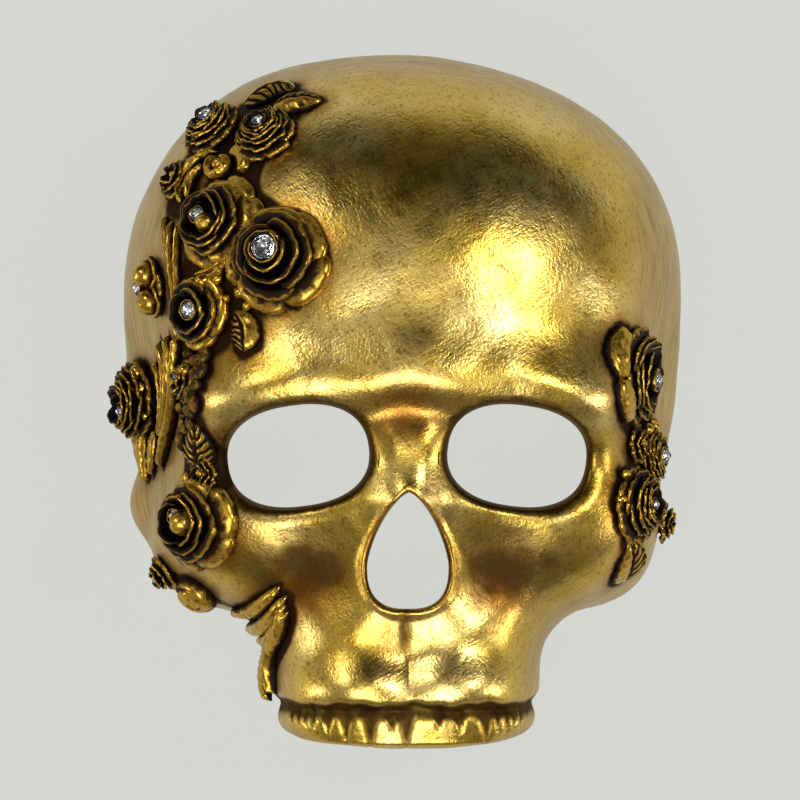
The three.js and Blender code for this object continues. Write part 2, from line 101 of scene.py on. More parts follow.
right = Vector((math.cos(CAMERA_YAW), 0, -math.sin(CAMERA_YAW)))
back = Vector((math.sin(CAMERA_YAW), 0, math.cos(CAMERA_YAW)))
up = back.cross(right)
aim = Vector(to_frame([0, 0, FACE_PLANE])) + right * FRAME_CENTRE * MM
camera_data = bpy.data.cameras.new("photo_camera")
camera_data.lens = LENS
camera_data.sensor_width = SENSOR
camera_data.clip_start = NEAREST_VIEW
camera = bpy.data.objects.new("photo_camera", camera_data)
turn = Matrix((right, up, back)).transposed().to_4x4()
camera.matrix_world = Matrix.Translation(aim + back * CAMERA_DISTANCE * MM) @ turn
bpy.context.scene.collection.objects.link(camera)
bpy.context.scene.camera = camera
bpy.context.scene.view_settings.view_transform = "Standard"
bpy.context.scene.view_settings.look = "Medium High Contrast"
print("camera at", [round(value, 3) for value in camera.matrix_world.translation])

# %% [markdown]
# ## Shader helpers
#
# A finish is a graph of nodes. Written with plain operators, its arithmetic stays readable: a
# Value wraps one socket, and plus, minus, times and powers on it add Math nodes. Every other node
# comes from one method of the Graph class, which sets the node's own options first and its
# sockets after that. The nodes could be laid out by hand, but then no one could read the sums.


# %% Shader arithmetic
def connect(tree, slot, value):
    """Link a Value to a socket, or set a plain number or colour on it."""
    if isinstance(value, Value):
        tree.links.new(value.socket, slot)
    else:
        slot.default_value = value


class Value:
    """One socket of a node tree; arithmetic on it adds Math nodes."""

    def __init__(self, tree, socket):
        self.tree = tree
        self.socket = socket

    def math(self, operation, *terms, clamp=False):
        """Add a Math node for one operation on values or plain numbers."""
        node = self.tree.nodes.new("ShaderNodeMath")
        node.operation = operation
        node.use_clamp = clamp
        for slot, term in zip(node.inputs, terms):
            connect(self.tree, slot, term)
        return Value(self.tree, node.outputs[0])

    def __add__(self, other):
        return self.math("ADD", self, other)

    def __sub__(self, other):
        return self.math("SUBTRACT", self, other)

    def __rsub__(self, other):
        return self.math("SUBTRACT", other, self)

    def __mul__(self, other):
        return self.math("MULTIPLY", self, other)

    def __pow__(self, other):
        return self.math("POWER", self, other)

    def __neg__(self):
        return self.math("MULTIPLY", self, -1.0)

    __radd__ = __add__
    __rmul__ = __mul__

    def clamped(self):
        """The value held between zero and one."""
        return self.math("ADD", self, 0.0, clamp=True)

    def larger(self, other):
        """The larger of two values."""
        return self.math("MAXIMUM", self, other)


print("arithmetic on shader values is ready")


# %% Graphs and finishes
class Graph:
    """A tree of nodes being filled, with the one way to add a node to it."""

    def __init__(self, tree):
        self.tree = tree

    def node(self, kind, options=None, inputs=None, output=0):
        """Add a node, set its options, then its inputs, and hand back one output."""
        node = self.tree.nodes.new("ShaderNode" + kind)
        for key, option in (options or {}).items():
            setattr(node, key, option)
        for key, value in (inputs or {}).items():
            connect(self.tree, node.inputs[key], value)
        return Value(self.tree, node.outputs[output])

    def attribute(self, name):
        """A number stored at each vertex of the piece."""
        return self.node("Attribute", {"attribute_name": name}, output=2)

    def place(self):
        """The piece's own coordinates, in metres."""
        return self.node("TexCoord", output=3)

    def noise(self, scale, detail=2.0, roughness=0.5, where=None, distortion=0.0):
        """Noise between zero and one on the piece's own coordinates."""
        inputs = {"Scale": scale, "Detail": detail, "Roughness": roughness}
        inputs["Distortion"] = distortion
        inputs["Vector"] = where or self.place()
        return self.node("TexNoise", {}, inputs)

    def ramp(self, value, low, high):
        """Zero below low, one above high, smooth between."""
        inputs = {"Value": value, "From Min": low, "From Max": high}
        return self.node("MapRange", {"interpolation_type": "SMOOTHSTEP"}, inputs)

    def blend(self, share, first, second):
        """Mix two colours by a share."""
        colours = [c if isinstance(c, Value) else (*c, 1.0) for c in (first, second)]
        inputs = {0: share, 6: colours[0], 7: colours[1]}
        return self.node("Mix", {"data_type": "RGBA"}, inputs, output=2)

    def bump(self, relief):
        """The normal over a relief given in millimetres."""
        return self.node("Bump", {}, {"Strength": 1.0, "Distance": MM, "Height": relief})


class Finish(Graph):
    """A material being made: a graph with a main shader."""

    def __init__(self, name):
        self.material = bpy.data.materials.new(name)
        self.material.use_nodes = True
        super().__init__(self.material.node_tree)
        self.shader = self.tree.nodes["Principled BSDF"]

    def set(self, **sockets):
        """Set the main shader's sockets; an underscore in a name stands for a space."""
        for key, value in sockets.items():
            connect(self.tree, self.shader.inputs[key.replace("_", " ")], value)


print("a finish can be made from nodes")

# %% [markdown]
# ### Table
#
# The photograph's background is one even pale grey, and it shows through the eyes and the nose as
# well. A plain table would lie in the mask's own shade there. This one is dark by itself and
# glows evenly, as a light table does, so it is the same grey beside the mask and under it.

# %% Table
TABLE_SIZE = 3.0
TABLE_COLOUR = (0.02, 0.02, 0.02, 1)
TABLE_GLOW = (0.651, 0.665, 0.631, 1)
TABLE_BRIGHTNESS = 0.84

table_data = bpy.data.meshes.new("table")
half = TABLE_SIZE / 2
corners = [(-half, -half, 0), (half, -half, 0), (half, half, 0), (-half, half, 0)]
table_data.from_pydata(corners, [], [(0, 1, 2, 3)])
table = bpy.data.objects.new("table", table_data)
bpy.context.scene.collection.objects.link(table)
table_finish = Finish("pale_table")
table_finish.set(Base_Color=TABLE_COLOUR, Roughness=0.9, Specular_IOR_Level=0.1)
table_finish.set(Emission_Color=TABLE_GLOW, Emission_Strength=TABLE_BRIGHTNESS)
table_data.materials.append(table_finish.material)
print("the table is", TABLE_SIZE, "m wide")

# %% [markdown]
# ### Studio light
#
# Metal shows what stands around it, so the light is planned as a picture on the sky. A broad glow
# hangs round the camera, wide glows stand on both sides and below, and a dark gap above the
# forehead gives the gold its depth. A narrow soft box makes the highlight on the forehead, one
# lights the temple with the roses, two graze the sides and one stands below the chin.

# %% Soft boxes
# Each box: azimuth and tilt in degrees, distance, width and length in metres, brightness
SOFT_BOXES = {
    "box_right": (16, 39, 1.3, 0.14, 0.42, 20.0),
    "box_left": (141, 47, 1.3, 0.36, 0.44, 5.0),
    "box_low_right": (-12, 74, 1.3, 0.36, 0.40, 5.0),
    "box_low_left": (189, 78, 1.3, 0.30, 0.34, 4.5),
    "box_chin": (-97, 22, 0.68, 0.40, 0.36, 3.8),
}


def toward(azimuth, tilt):
    """Direction at an azimuth round +Z and a tilt away from it, in degrees."""
    a, t = math.radians(azimuth), math.radians(tilt)
    return Vector((math.cos(a) * math.sin(t), math.sin(a) * math.sin(t), math.cos(t)))


def soft_box(name, azimuth, tilt, distance, width, length, brightness):
    """A lit rectangle that faces the mask; its power is brightness times area times pi."""
    data = bpy.data.lights.new(name, "AREA")
    data.shape = "RECTANGLE"
    data.size = width
    data.size_y = length
    data.energy = brightness * width * length * math.pi
    lamp = bpy.data.objects.new(name, data)
    spot = toward(azimuth, tilt) * distance
    lamp.location = spot
    lamp.rotation_euler = spot.to_track_quat("Z", "Y").to_euler()
    bpy.context.scene.collection.objects.link(lamp)


for name, measures in SOFT_BOXES.items():
    soft_box(name, *measures)
print("soft boxes:", len(SOFT_BOXES))

# %% Sky
# Each glow: azimuth and tilt in degrees, strength, and the power that narrows it
GLOWS = (
    (0, 0, 0.56, 14),
    (-10, 80, 0.20, 4),
    (185, 78, 0.42, 4),
    (270, 50, 0.28, 3),
    (22, 40, 0.1, 22),
    (140, 48, 0.25, 22),
    (86, 82, 0.1, 14),
)
DARK_SKY = 0.004
SKY_COLOUR = (1.0, 0.985, 0.96, 1)

world = bpy.data.worlds.new("studio")
world.use_nodes = True
bpy.context.scene.world = world
sky = Graph(world.node_tree)
way = sky.node("TexCoord", output=0)
light = 0.0
for azimuth, tilt, strength, power in GLOWS:
    # The cosine of the angle to the middle of the glow, raised to a power
    middle = tuple(toward(azimuth, tilt))
    near = sky.node("VectorMath", {"operation": "DOT_PRODUCT"}, {0: way, 1: middle}, output=1)
    light = near.larger(0.0) ** power * strength + light
background = world.node_tree.nodes["Background"]
connect(sky.tree, background.inputs["Strength"], light + DARK_SKY)
connect(sky.tree, background.inputs["Color"], SKY_COLOUR)
print("glows in the sky:", len(GLOWS))

# %% [markdown]
# ## The skull as one formula
#
# A mask like this begins as a clay model: an egg for the head, lumps pressed on for the brow, the
# cheekbones and the jaw, and hollows dug beside the nose and at the temples. A distance formula
# says the same thing in numbers. Each egg gives the distance to its surface, join melts two
# lumps together over a few millimetres, and carve digs one out of the other. Below zero is
# inside, zero is the surface. It could be sculpted by hand, but a formula lets every rose, leaf
# and stone find its seat on the same surface.


# %% Distances and blends
def join(a, b, k):
    """Smooth union: the smaller distance, less a bump where both are nearly equal."""
    h = np.maximum(k - np.abs(a - b), 0) / k
    return np.minimum(a, b) - h * h * k / 4


def carve(a, b, k):
    """Smooth difference: the union of the outside of a with b, turned inside out."""
    return -join(-a, b, k)


def egg(x, y, z, centre, radii, power=2):
    """Distance to an egg: its power norm less one, divided by that norm's slope."""
    q = [np.abs(v - c) / r for v, c, r in zip((x, y, z), centre, radii)]
    norm = np.maximum(sum(v**power for v in q) ** (1 / power), 1e-6)
    slope = np.sqrt(sum((v ** (power - 1) / r) ** 2 for v, r in zip(q, radii)))
    return (norm - 1) / np.maximum(slope / norm ** (power - 1), 1e-6)


def bar(x, y, z, start, end, first, last):
    """Distance to a round bar: to the nearest point of its axis, less the radius there."""
    start, end = np.array(start), np.array(end)
    axis = end - start
    p = np.stack([x, y, z], -1) - start
    t = np.clip(p @ axis / (axis @ axis), 0, 1)
    return np.linalg.norm(p - t[..., None] * axis, axis=-1) - (first + (last - first) * t)


def bell(value, width):
    """A bell of height one: e to the power of minus the square of value over width."""
    return np.exp(-((value / width) ** 2))


def smooth_step(t):
    """Zero below 0, one above 1, with level ends."""
    c = np.clip(t, 0, 1)
    return c * c * (3 - 2 * c)


print("between two lumps 1 mm apart, a blend over 4 mm gives", join(0.5, 0.5, 4.0), "mm")

# %% The skull without its fine work
CROWN_RISE = 75.8
FACE_DROP = 136.0
HEAD_DEPTH = 84.0
HEAD_POWER = 2.2
# The crown leans to one side: by this much, from this height on, over this reach
CROWN_LEAN = 4.2
LEAN_START = 62.0
LEAN_REACH = 43.0
# The cheeks end on a plane, above which only the jaw hangs
CHEEK_BOTTOM = -66.0
CHEEK_SLOPE = 0.03
# The jaw ends on a shallow bow: its lowest height, and its rise at this half width
TOOTH_BOTTOM = -105.0
BOW_RISE = 3.5
BOW_HALF_WIDTH = 38.0


def skull(p):
    """Distance to the skull at points (..., 3): eggs joined and carved one after another. What
    is written with x stands once, and what is written with m stands on both sides."""
    y, z = p[..., 1], p[..., 2]
    x = p[..., 0] + CROWN_LEAN * np.maximum((y - LEAN_START) / LEAN_REACH, 0) ** 2
    m = np.abs(x)
    reach = np.where(y > CROWN_Y, CROWN_RISE, FACE_DROP)
    f = egg(x, y, z, (0, CROWN_Y, 0), (HEAD_HALF_WIDTH, reach, HEAD_DEPTH), HEAD_POWER)
    f = carve(f, y - CHEEK_BOTTOM + CHEEK_SLOPE * m, 16)
    # Cheekbones, their ends at the sides, and the stump of the left cheek arch
    f = join(f, egg(m, y, z, (50, -37, 39), (20, 19, 22), 2.2), 16)
    f = join(f, egg(m, y, z, (66, -42, 10), (12, 17, 26)), 12)
    f = join(f, egg(x, y, z, (-78, -33, 4), (8, 9, 14)), 8)
    # Upper jaw, brows and the swelling between them
    f = join(f, egg(x, y, z, (0, -82, 16), (42, 50, 56), 2.9), 16)
    f = join(f, egg(m, y, z, (30, 1, 60), (32, 11, 20)), 18)
    f = join(f, egg(x, y, z, (0, 8, 60), (16, 13, 22)), 16)
    # Hollows: temples, both sides of the nose and the root of the nose
    f = carve(f, egg(m, y, z, (98, 0, 50), (22, 34, 32)), 20)
    f = carve(f, egg(m, y, z, (27, -50, 86), (12, 12, 17)), 14)
    f = carve(f, egg(x, y, z, (0, -5, 94), (20, 6, 13)), 8)
    # Bridge of the nose, then the dip and the two swellings of the upper jaw
    f = join(f, bar(x, y, z, (0, -9, 70), (0, -29, 77), 8, 7.5), 9)
    f = carve(f, egg(x, y, z, (0, -77, 92), (9, 9, 20.0)), 12)
    f = join(f, egg(m, y, z, (15, -87, 52), (16, 8, 20.6)), 10)
    return carve(f, y - TOOTH_BOTTOM - BOW_RISE * (x / BOW_HALF_WIDTH) ** 2, 4)


print("the front of the forehead lies at", HEAD_DEPTH, "mm, the teeth end at", TOOTH_BOTTOM)

# %% [markdown]
# ### Hand work on the surface
#
# The gum line is a dark groove, the gaps between the teeth are wedges that narrow downwards, a
# soft groove parts the upper jaw and a thin bead runs round the nose. A real pressed shell is
# never quite true, so slow waves of a fraction of a millimetre go over all of it. A sculptor's
# brush could do this too, but as formulas the same numbers also place the dark glaze later.

# %% Teeth and gums
# Gaps between teeth: place along the jaw, width at the gum and length, in mm
TOOTH_GAPS = (
    (-41.0, 1.3, 6.0),
    (-37.0, 1.3, 6.0),
    (-33.3, 1.3, 6.0),
    (-29.7, 1.2, 6.5),
    (-24.3, 1.7, 9.0),
    (-18.9, 2.3, 11.0),
    (-11.7, 2.4, 13.0),
    (-5.1, 1.6, 8.0),
    (-0.9, 2.5, 13.0),
    (9.0, 1.3, 7.0),
    (15.3, 1.8, 8.0),
    (23.4, 2.5, 11.0),
    (27.9, 1.3, 8.0),
    (32.4, 1.3, 9.0),
    (36.0, 1.3, 8.0),
    (40.5, 1.3, 7.0),
)
GUM_Y = -92.6
GUM_TOP = -80.0
# Half widths of the gum groove above and below its line
GUM_WIDTHS = (1.5, 2.9)
GAP_LEAN = 0.05
THINNEST_GAP = 0.25
# The front of the jaw, from which the gaps are measured round its side as far as this height
JAW_FRONT = 66.0
JAW_BACK = 20.0


def gum_depth(p):
    """Depth of the gum groove: a bell across a line that waves a little along the jaw."""
    line = GUM_Y + 0.4 * np.sin(0.31 * p[..., 0] + 0.9) + 0.25 * np.sin(0.83 * p[..., 0])
    away = p[..., 1] - line
    width = np.where(away > 0, *GUM_WIDTHS)
    return np.where(p[..., 1] < GUM_TOP, bell(away, width), 0.0)


def gap_depth(p):
    """Depth of the gaps between teeth: wedges, each wide at the gum and gone at its length."""
    along = p[..., 0] * (1 + np.clip(JAW_FRONT - p[..., 2], 0, 40) / 60)
    down = GUM_Y - p[..., 1]
    total = 0.0
    for place, width, length in TOOTH_GAPS:
        left = np.clip(1 - down / length, 0, 1)
        middle = along - place - GAP_LEAN * down
        total = total + bell(middle, THINNEST_GAP + width * left) * left**0.5
    return np.clip(total, 0, 1) * np.clip((down + 0.5) / 1.5, 0, 1) * (p[..., 2] > JAW_BACK)


print("gaps between the teeth:", len(TOOTH_GAPS))

# %% Waves, the nose and the finished surface
NOSE_WAIST = -50.0
NOSE_UP = 22.5
NOSE_DOWN = 12.6
NOSE_HALF_WIDTH = 12.2
# Powers of the nose hole's outline above and below its waist
NOSE_POWERS = (1.45, 2.6)
GUM_CUT = 1.7
GAP_CUT = 1.3
PARTING_CUT = 0.4
DENT_CUT = 0.5
BEAD_RISE = 0.8
HEM_RISE = 0.35
# Only the front of the mask has the bead, the parting and the dent
FRONT = 40.0


def waves(p):
    """Slow unevenness: a sum of five sine waves in different directions."""
    x, y, z = p[..., 0], p[..., 1], p[..., 2]
    bent = x + 6 * np.sin(0.043 * y + 1.0)
    risen = y + 5 * np.sin(0.051 * x + 2.0)
    total = 0.16 * np.sin(0.11 * bent + 0.03 * y + 0.09 * z + 0.6)
    total += 0.10 * np.sin(0.13 * risen - 0.05 * x + 0.10 * z + 2.1)
    total += 0.055 * np.sin(0.29 * bent + 0.23 * risen + 4.0)
    total += 0.045 * np.sin(0.37 * risen - 0.31 * bent + 0.21 * z + 1.2)
    return total + 0.018 * np.sin(0.71 * bent + 0.53 * y + 0.45 * z)


def nose_norm(x, y):
    """Nose hole: below one inside, pointed above its waist and blunt below it."""
    rise = np.where(y > NOSE_WAIST, (y - NOSE_WAIST) / NOSE_UP, (NOSE_WAIST - y) / NOSE_DOWN)
    power = np.where(y > NOSE_WAIST, *NOSE_POWERS)
    return (np.abs(x / NOSE_HALF_WIDTH) ** power + np.abs(rise) ** power) ** (1 / power)


def nose_distance(x, y):
    """How far outside the nose hole a place lies, along the line from the hole's waist."""
    return np.hypot(x, y - NOSE_WAIST) * (1 - 1 / np.maximum(nose_norm(x, y), 1e-3))


def parting(p):
    """The soft groove from the nose hole down the upper jaw: a bell across times a bell along."""
    return bell(p[..., 0] + 0.6, 1.5) * bell(p[..., 1] + 70, 8.5) * (p[..., 2] > FRONT)


def fine_skull(p):
    """The skull with its grooves cut, its bead and hem raised and its waves added. The bead runs
    round the nose hole and fades at its tip, the hem runs along the bottom of the teeth, and the
    dent is a shallow dimple above the right brow."""
    x, y = p[..., 0], p[..., 1]
    front = p[..., 2] > FRONT
    bead = bell(nose_distance(x, y) - 1.6, 1.3) * front * (1 - 0.8 * smooth_step((y + 40) / 10))
    dent = bell(np.hypot(x - 27, y - 37), 7.0) * front
    hem = bell(y + 103.2, 1.0)
    cut = GUM_CUT * gum_depth(p) + GAP_CUT * gap_depth(p)
    cut = cut + PARTING_CUT * parting(p) + DENT_CUT * dent
    return skull(p) + cut - BEAD_RISE * bead - HEM_RISE * hem + waves(p)


print("the nose hole is", NOSE_UP + NOSE_DOWN, "mm tall and", 2 * NOSE_HALF_WIDTH, "mm wide")

# %% [markdown]
# ### Reading the formula
#
# Two questions are asked of the formula again and again: which way the surface faces, and where a
# ray meets it. The slope in three directions answers the first. For the second, a point comes in
# along the ray from outside, each time by the distance that is left.

# %% Directions and rays
# Slopes are taken over this step to both sides
SLOPE_STEP = 0.05
# A ray comes in from this far, or from further for the rim, and moves by this share of the
# distance that is left, so often
RAY_START = 130.0
RIM_RAY_START = 190.0
RAY_SHARE = 0.75
RAY_ROUNDS = 40


def unit(v):
    """Vectors scaled to length one."""
    return v / np.maximum(np.linalg.norm(v, axis=-1, keepdims=True), 1e-9)


def outward(p):
    """Direction in which the distance to the skull grows fastest, by differences both ways."""
    sides = np.eye(3) * SLOPE_STEP
    return unit(np.stack([skull(p + s) - skull(p - s) for s in sides], -1))


def meet(start, direction, level=0.0, far=RAY_START, shape=skull):
    """Outermost point at a level on each ray: come in from far by the distance left."""
    start, direction = np.broadcast_arrays(np.asarray(start, float), np.asarray(direction, float))
    t = np.full(start.shape[:-1], float(far))
    for _ in range(RAY_ROUNDS):
        t = t - RAY_SHARE * (shape(start + direction * t[..., None]) - level)
    return start + direction * t[..., None]


test = meet(np.array([[0, 60, 0], [0, 90, 0], [33, -37, 0], [0, -98, 0]]), [0, 0, 1])
print("height of the face at four places:", test[:, 2].round(1), "mm")

# %% [markdown]
# ## Meshes from arrays
#
# A surface on a grid of points is a table of quads, and two loops with different counts can be
# joined by a band of triangles. With these two helpers, every later piece is only a formula.
# Points and faces go into the mesh as whole arrays, which is far quicker than one by one.


# %% Grids and bands
def grid_faces(rows, columns, first=0, closed=False):
    """Quads between neighbouring points of a grid stored row after row."""
    across = columns if closed else columns - 1
    i, j = np.meshgrid(np.arange(rows - 1), np.arange(across), indexing="ij")
    k = (j + 1) % columns
    quad = [i * columns + j, i * columns + k, (i + 1) * columns + k, (i + 1) * columns + j]
    return first + np.stack(quad, -1).reshape(-1, 4)


def band(first, second, first_place, second_place):
    """Triangles between two closed loops, given each point's place round the loop from 0 to 1:
    an edge of one loop takes the point that the other loop has reached at the edge's end."""
    a, b = np.argsort(first_place), np.argsort(second_place)
    first, first_place = first[a], first_place[a]
    second, second_place = second[b], second_place[b]
    next_first, next_second = np.roll(first, -1), np.roll(second, -1)
    reached = np.searchsorted(second_place, np.roll(first_place, -1), side="right") - 1
    passed = np.searchsorted(first_place, np.roll(second_place, -1), side="left") - 1
    return np.concatenate(
        [
            np.stack([first, next_first, second[reached]], -1),
            np.stack([next_second, second, first[passed]], -1),
        ]
    )


print("a grid of 3 by 4 points has", len(grid_faces(3, 4)), "quads")

# %% Meshes
WELD = 0.004


def make_piece(name, points, faces, finish, numbers=None, smooth=True):
    """Put points in face millimetres and lists of faces into a mesh that rides on the root."""
    points = to_frame(points)
    used = np.zeros(len(points), bool)
    for group in faces:
        used[group.ravel()] = True
    place = np.cumsum(used) - 1
    corners = np.concatenate([place[group].ravel() for group in faces])
    sizes = np.concatenate([np.full(len(group), group.shape[1]) for group in faces])
    mesh = bpy.data.meshes.new(name)
    mesh.vertices.add(int(used.sum()))
    mesh.vertices.foreach_set("co", points[used].ravel())
    mesh.loops.add(len(corners))
    mesh.loops.foreach_set("vertex_index", corners.astype(np.int32))
    mesh.polygons.add(len(sizes))
    starts = np.concatenate([[0], np.cumsum(sizes)[:-1]])
    mesh.polygons.foreach_set("loop_start", starts.astype(np.int32))
    mesh.polygons.foreach_set("use_smooth", np.full(len(sizes), smooth))
    for key, values in (numbers or {}).items():
        layer = mesh.attributes.new(key, "FLOAT", "POINT")
        layer.data.foreach_set("value", np.asarray(values, float)[used])
    mesh.materials.append(finish.material)
    mesh.update(calc_edges=True)
    mesh.validate()
    piece = bpy.data.objects.new(name, mesh)
    bpy.context.scene.collection.objects.link(piece)
    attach(piece, "root")
    return piece


def weld(mesh, distance):
    """Merge points closer than a distance and point all faces outward."""
    work = bmesh.new()
    work.from_mesh(mesh)
    bmesh.ops.remove_doubles(work, verts=work.verts, dist=distance)
    bmesh.ops.recalc_face_normals(work, faces=work.faces)
    work.to_mesh(mesh)
    work.free()


print("pieces can be made and welded")

# %% [markdown]
# ## The shell
#
# The shell is one closed skin: an outer face, an inner face three millimetres behind it, and
# rounded edges round the rim, the nose and both eyes. Rays find it. They start on lines that
# fan out from the nose, come straight down over the face, turn about a pivot near the side and
# then lie level, so the steps along each line can be even from the nose to the rim. Round each
# eye, a block of the grid is left out and its border is pulled onto the eye's outline, and the
# lines around it are relaxed, as threads of cloth make room for a buttonhole.

# %% Lines from the nose to the rim
# The rim lies on the table but for the jaw, which ends this much higher within these degrees
JAW_TRIM = 50.0
JAW_ANGLES = (25, 88)
EDGE_ROUND = WALL / 2
FLAT_RAYS = 80
TURNED_RAYS = 30
# The pivot of the turned rays lies this far inside the skull's edge, and less at the jaw
PIVOT_DEPTH = 20.0
JAW_PIVOT_LESS = 6.0
PIVOT_LIFT = 8.0
# That lessening is full below this angle from the jaw's middle and fades over the next, in
# radians
JAW_FULL, JAW_FADE = 0.9, 0.7
# How much closer the lines stand at the jaw than at the crown
CROWDING = 0.10
# The nose hole's outline is looked for within this distance, by so many halvings
NOSE_SEARCH = 40.0
HALVINGS = 24


def nose_radius(azimuth):
    """Distance from the nose's waist to its outline, by halving."""
    low, high = np.zeros_like(azimuth), np.full_like(azimuth, NOSE_SEARCH)
    for _ in range(HALVINGS):
        middle = (low + high) / 2
        far = nose_norm(middle * np.sin(azimuth), NOSE_WAIST - middle * np.cos(azimuth)) > 1
        high = np.where(far, middle, high)
        low = np.where(far, low, middle)
    return low


print("the nose hole reaches", nose_radius(np.array([0, np.pi])).round(1), "mm down and up")


# %% The fan of rays
class Fan:
    """The fan of rays for one level of the skull: where each starts and where it points."""

    def __init__(self, columns, level):
        self.level = level
        signed = np.linspace(-np.pi, np.pi, columns, endpoint=False)
        self.azimuth = signed - CROWDING * np.sin(signed)
        zero = np.zeros(columns)
        self.out = np.stack([np.sin(self.azimuth), -np.cos(self.azimuth), zero], -1)
        degrees = np.degrees(np.abs(self.azimuth))
        start, end = JAW_ANGLES
        self.trim = JAW_TRIM * (1 - smooth_step((degrees - start) / (end - start))) + EDGE_ROUND
        self.centre = np.stack([zero, zero + NOSE_WAIST, zero], -1)
        low = self.centre + [0, 0, 1] * self.trim[:, None]
        self.edge = meet(low, self.out, level, RIM_RAY_START)
        reach = np.linalg.norm(self.edge[:, :2] - self.centre[:, :2], axis=-1)
        jaw = 1 - smooth_step((np.abs(self.azimuth) - JAW_FULL) / JAW_FADE)
        self.pivot = reach - (PIVOT_DEPTH - JAW_PIVOT_LESS * jaw)
        self.first = nose_radius(self.azimuth) + EDGE_ROUND

    def rays(self, share):
        """Rays at shares (columns, rows) of each line: 0 at the nose, 1 the pivot, 2 the rim."""
        flat = np.clip(share, 0, 1)
        tilt = np.clip(share - 1, 0, 1) * np.pi / 2
        radius = self.first[:, None] * (1 - flat) + self.pivot[:, None] * flat
        lift = np.where(share > 1, self.trim[:, None] + PIVOT_LIFT, 0) * np.cos(tilt)
        lift += np.where(share > 1, self.trim[:, None], 0) * (1 - np.cos(tilt))
        start = self.centre[:, None] + self.out[:, None] * radius[..., None]
        start = start + [0, 0, 1] * lift[..., None]
        direction = np.cos(tilt)[..., None] * [0, 0, 1] + np.sin(tilt)[..., None] * self.out[:, None]
        return start, direction

    def even_shares(self, rows):
        """Shares that cut each line into steps of equal length along the skull."""
        flat = np.linspace(0, 1, FLAT_RAYS)
        share = np.concatenate([flat, np.linspace(1, 2, TURNED_RAYS)[1:]])
        share = np.broadcast_to(share, (len(self.azimuth), len(share)))
        points = meet(*self.rays(share), self.level)
        steps = np.linalg.norm(np.diff(points, axis=1), axis=-1)
        run = np.concatenate([np.zeros((len(steps), 1)), np.cumsum(steps, 1)], 1)
        run /= run[:, -1:]
        want = np.linspace(0, 1, rows)
        k = np.clip((run[:, None, :] <= want[None, :, None]).sum(-1), 1, run.shape[1] - 1)
        low, high = np.take_along_axis(run, k - 1, 1), np.take_along_axis(run, k, 1)
        t = (want - low) / np.maximum(high - low, 1e-9)
        before, after = np.take_along_axis(share, k - 1, 1), np.take_along_axis(share, k, 1)
        return before + (after - before) * t


print("rays on each line while it is measured:", FLAT_RAYS + TURNED_RAYS - 1)

# %% Eye outline and the drop into its socket
EYE_X = 33.0
EYE_Y = -16.8
EYE_HALF_LENGTH = 21.3
EYE_HALF_HEIGHT = 15.2
EYE_POWER = 2.35
EYE_DROOP = math.radians(8)
SOCKET_REACH = 8.5
SOCKET_REACH_UP = 2.0
SOCKET_FALL = 3.4


def eye_outline(side, angle, grow=0.0):
    """Eye outline: a rounded oval of two half sizes and a power, grown, turned by its droop."""
    c, s = np.cos(angle), np.sin(angle)
    u = (EYE_HALF_LENGTH + grow) * np.sign(c) * np.abs(c) ** (2 / EYE_POWER)
    v = (EYE_HALF_HEIGHT + grow) * np.sign(s) * np.abs(s) ** (2 / EYE_POWER)
    dx = u * math.cos(EYE_DROOP) + v * math.sin(EYE_DROOP)
    dy = v * math.cos(EYE_DROOP) - u * math.sin(EYE_DROOP)
    return side * (EYE_X + dx), EYE_Y + dy


def eye_frame(x, y):
    """Place in the eye's own axes, along its length and its height."""
    dx, dy = np.abs(x) - EYE_X, y - EYE_Y
    u = dx * math.cos(EYE_DROOP) - dy * math.sin(EYE_DROOP)
    v = dx * math.sin(EYE_DROOP) + dy * math.cos(EYE_DROOP)
    return u, v


def eye_norm(x, y):
    """Eye hole: below one inside."""
    u, v = eye_frame(x, y)
    first = np.abs(u / EYE_HALF_LENGTH) ** EYE_POWER
    return (first + np.abs(v / EYE_HALF_HEIGHT) ** EYE_POWER) ** (1 / EYE_POWER)


def eye_distance(x, y):
    """How far outside the eye outline a place lies, along the line from the eye's middle."""
    radius = np.hypot(np.abs(x) - EYE_X, y - EYE_Y)
    return radius * (1 - 1 / np.maximum(eye_norm(x, y), 1e-3))


def socket_fall(x, y, behind=0.0):
    """How far the face falls towards an eye: a parabola over the socket's reach, from the
    outline, or for the inner face from as far behind the outline as the wall is thick."""
    radius = np.hypot(np.abs(x) - EYE_X, y - EYE_Y)
    reach = SOCKET_REACH + SOCKET_REACH_UP * (y - EYE_Y) / np.maximum(radius, 1e-3)
    near = np.clip(1 - (eye_distance(x, y) - behind) / reach, 0, 1)
    return SOCKET_FALL * near**2


print("each eye hole is", 2 * EYE_HALF_LENGTH, "by", 2 * EYE_HALF_HEIGHT, "mm")

# %% [markdown]
# ### Room for the eyes
#
# The lines of the grid run straight over both eyes at first. A hole could be cut with a Boolean,
# but its edge would be ragged and badly shaded. Here a block of quads is left out instead. Its
# border is laid on the outline and the grid around it is relaxed, so no face is cut in two.

# %% Pull the grid round the eyes
# A grid point counts as inside the eye up to this norm; the block reaches this many standard
# deviations of those points to both sides
EYE_MARGIN = 1.06
BLOCK_REACH = 1.72
OUTLINE_STEPS = 4001
RELAX_ROUNDS = 260
# The relaxing goes on at full strength up to this share of the room below the block
RELAX_CORE = 0.6
LEAST_ROOM = 6


def eye_block(plan, flat, side):
    """First and last line, and first and last row, of the grid points inside one eye."""
    inside = (eye_norm(plan[..., 0], plan[..., 1]) < EYE_MARGIN) & (plan[..., 0] * side > 0) & flat
    spans = []
    for index in np.nonzero(inside):
        reach = BLOCK_REACH * index.std()
        spans.append((round(index.mean() - reach), round(index.mean() + reach)))
    return spans


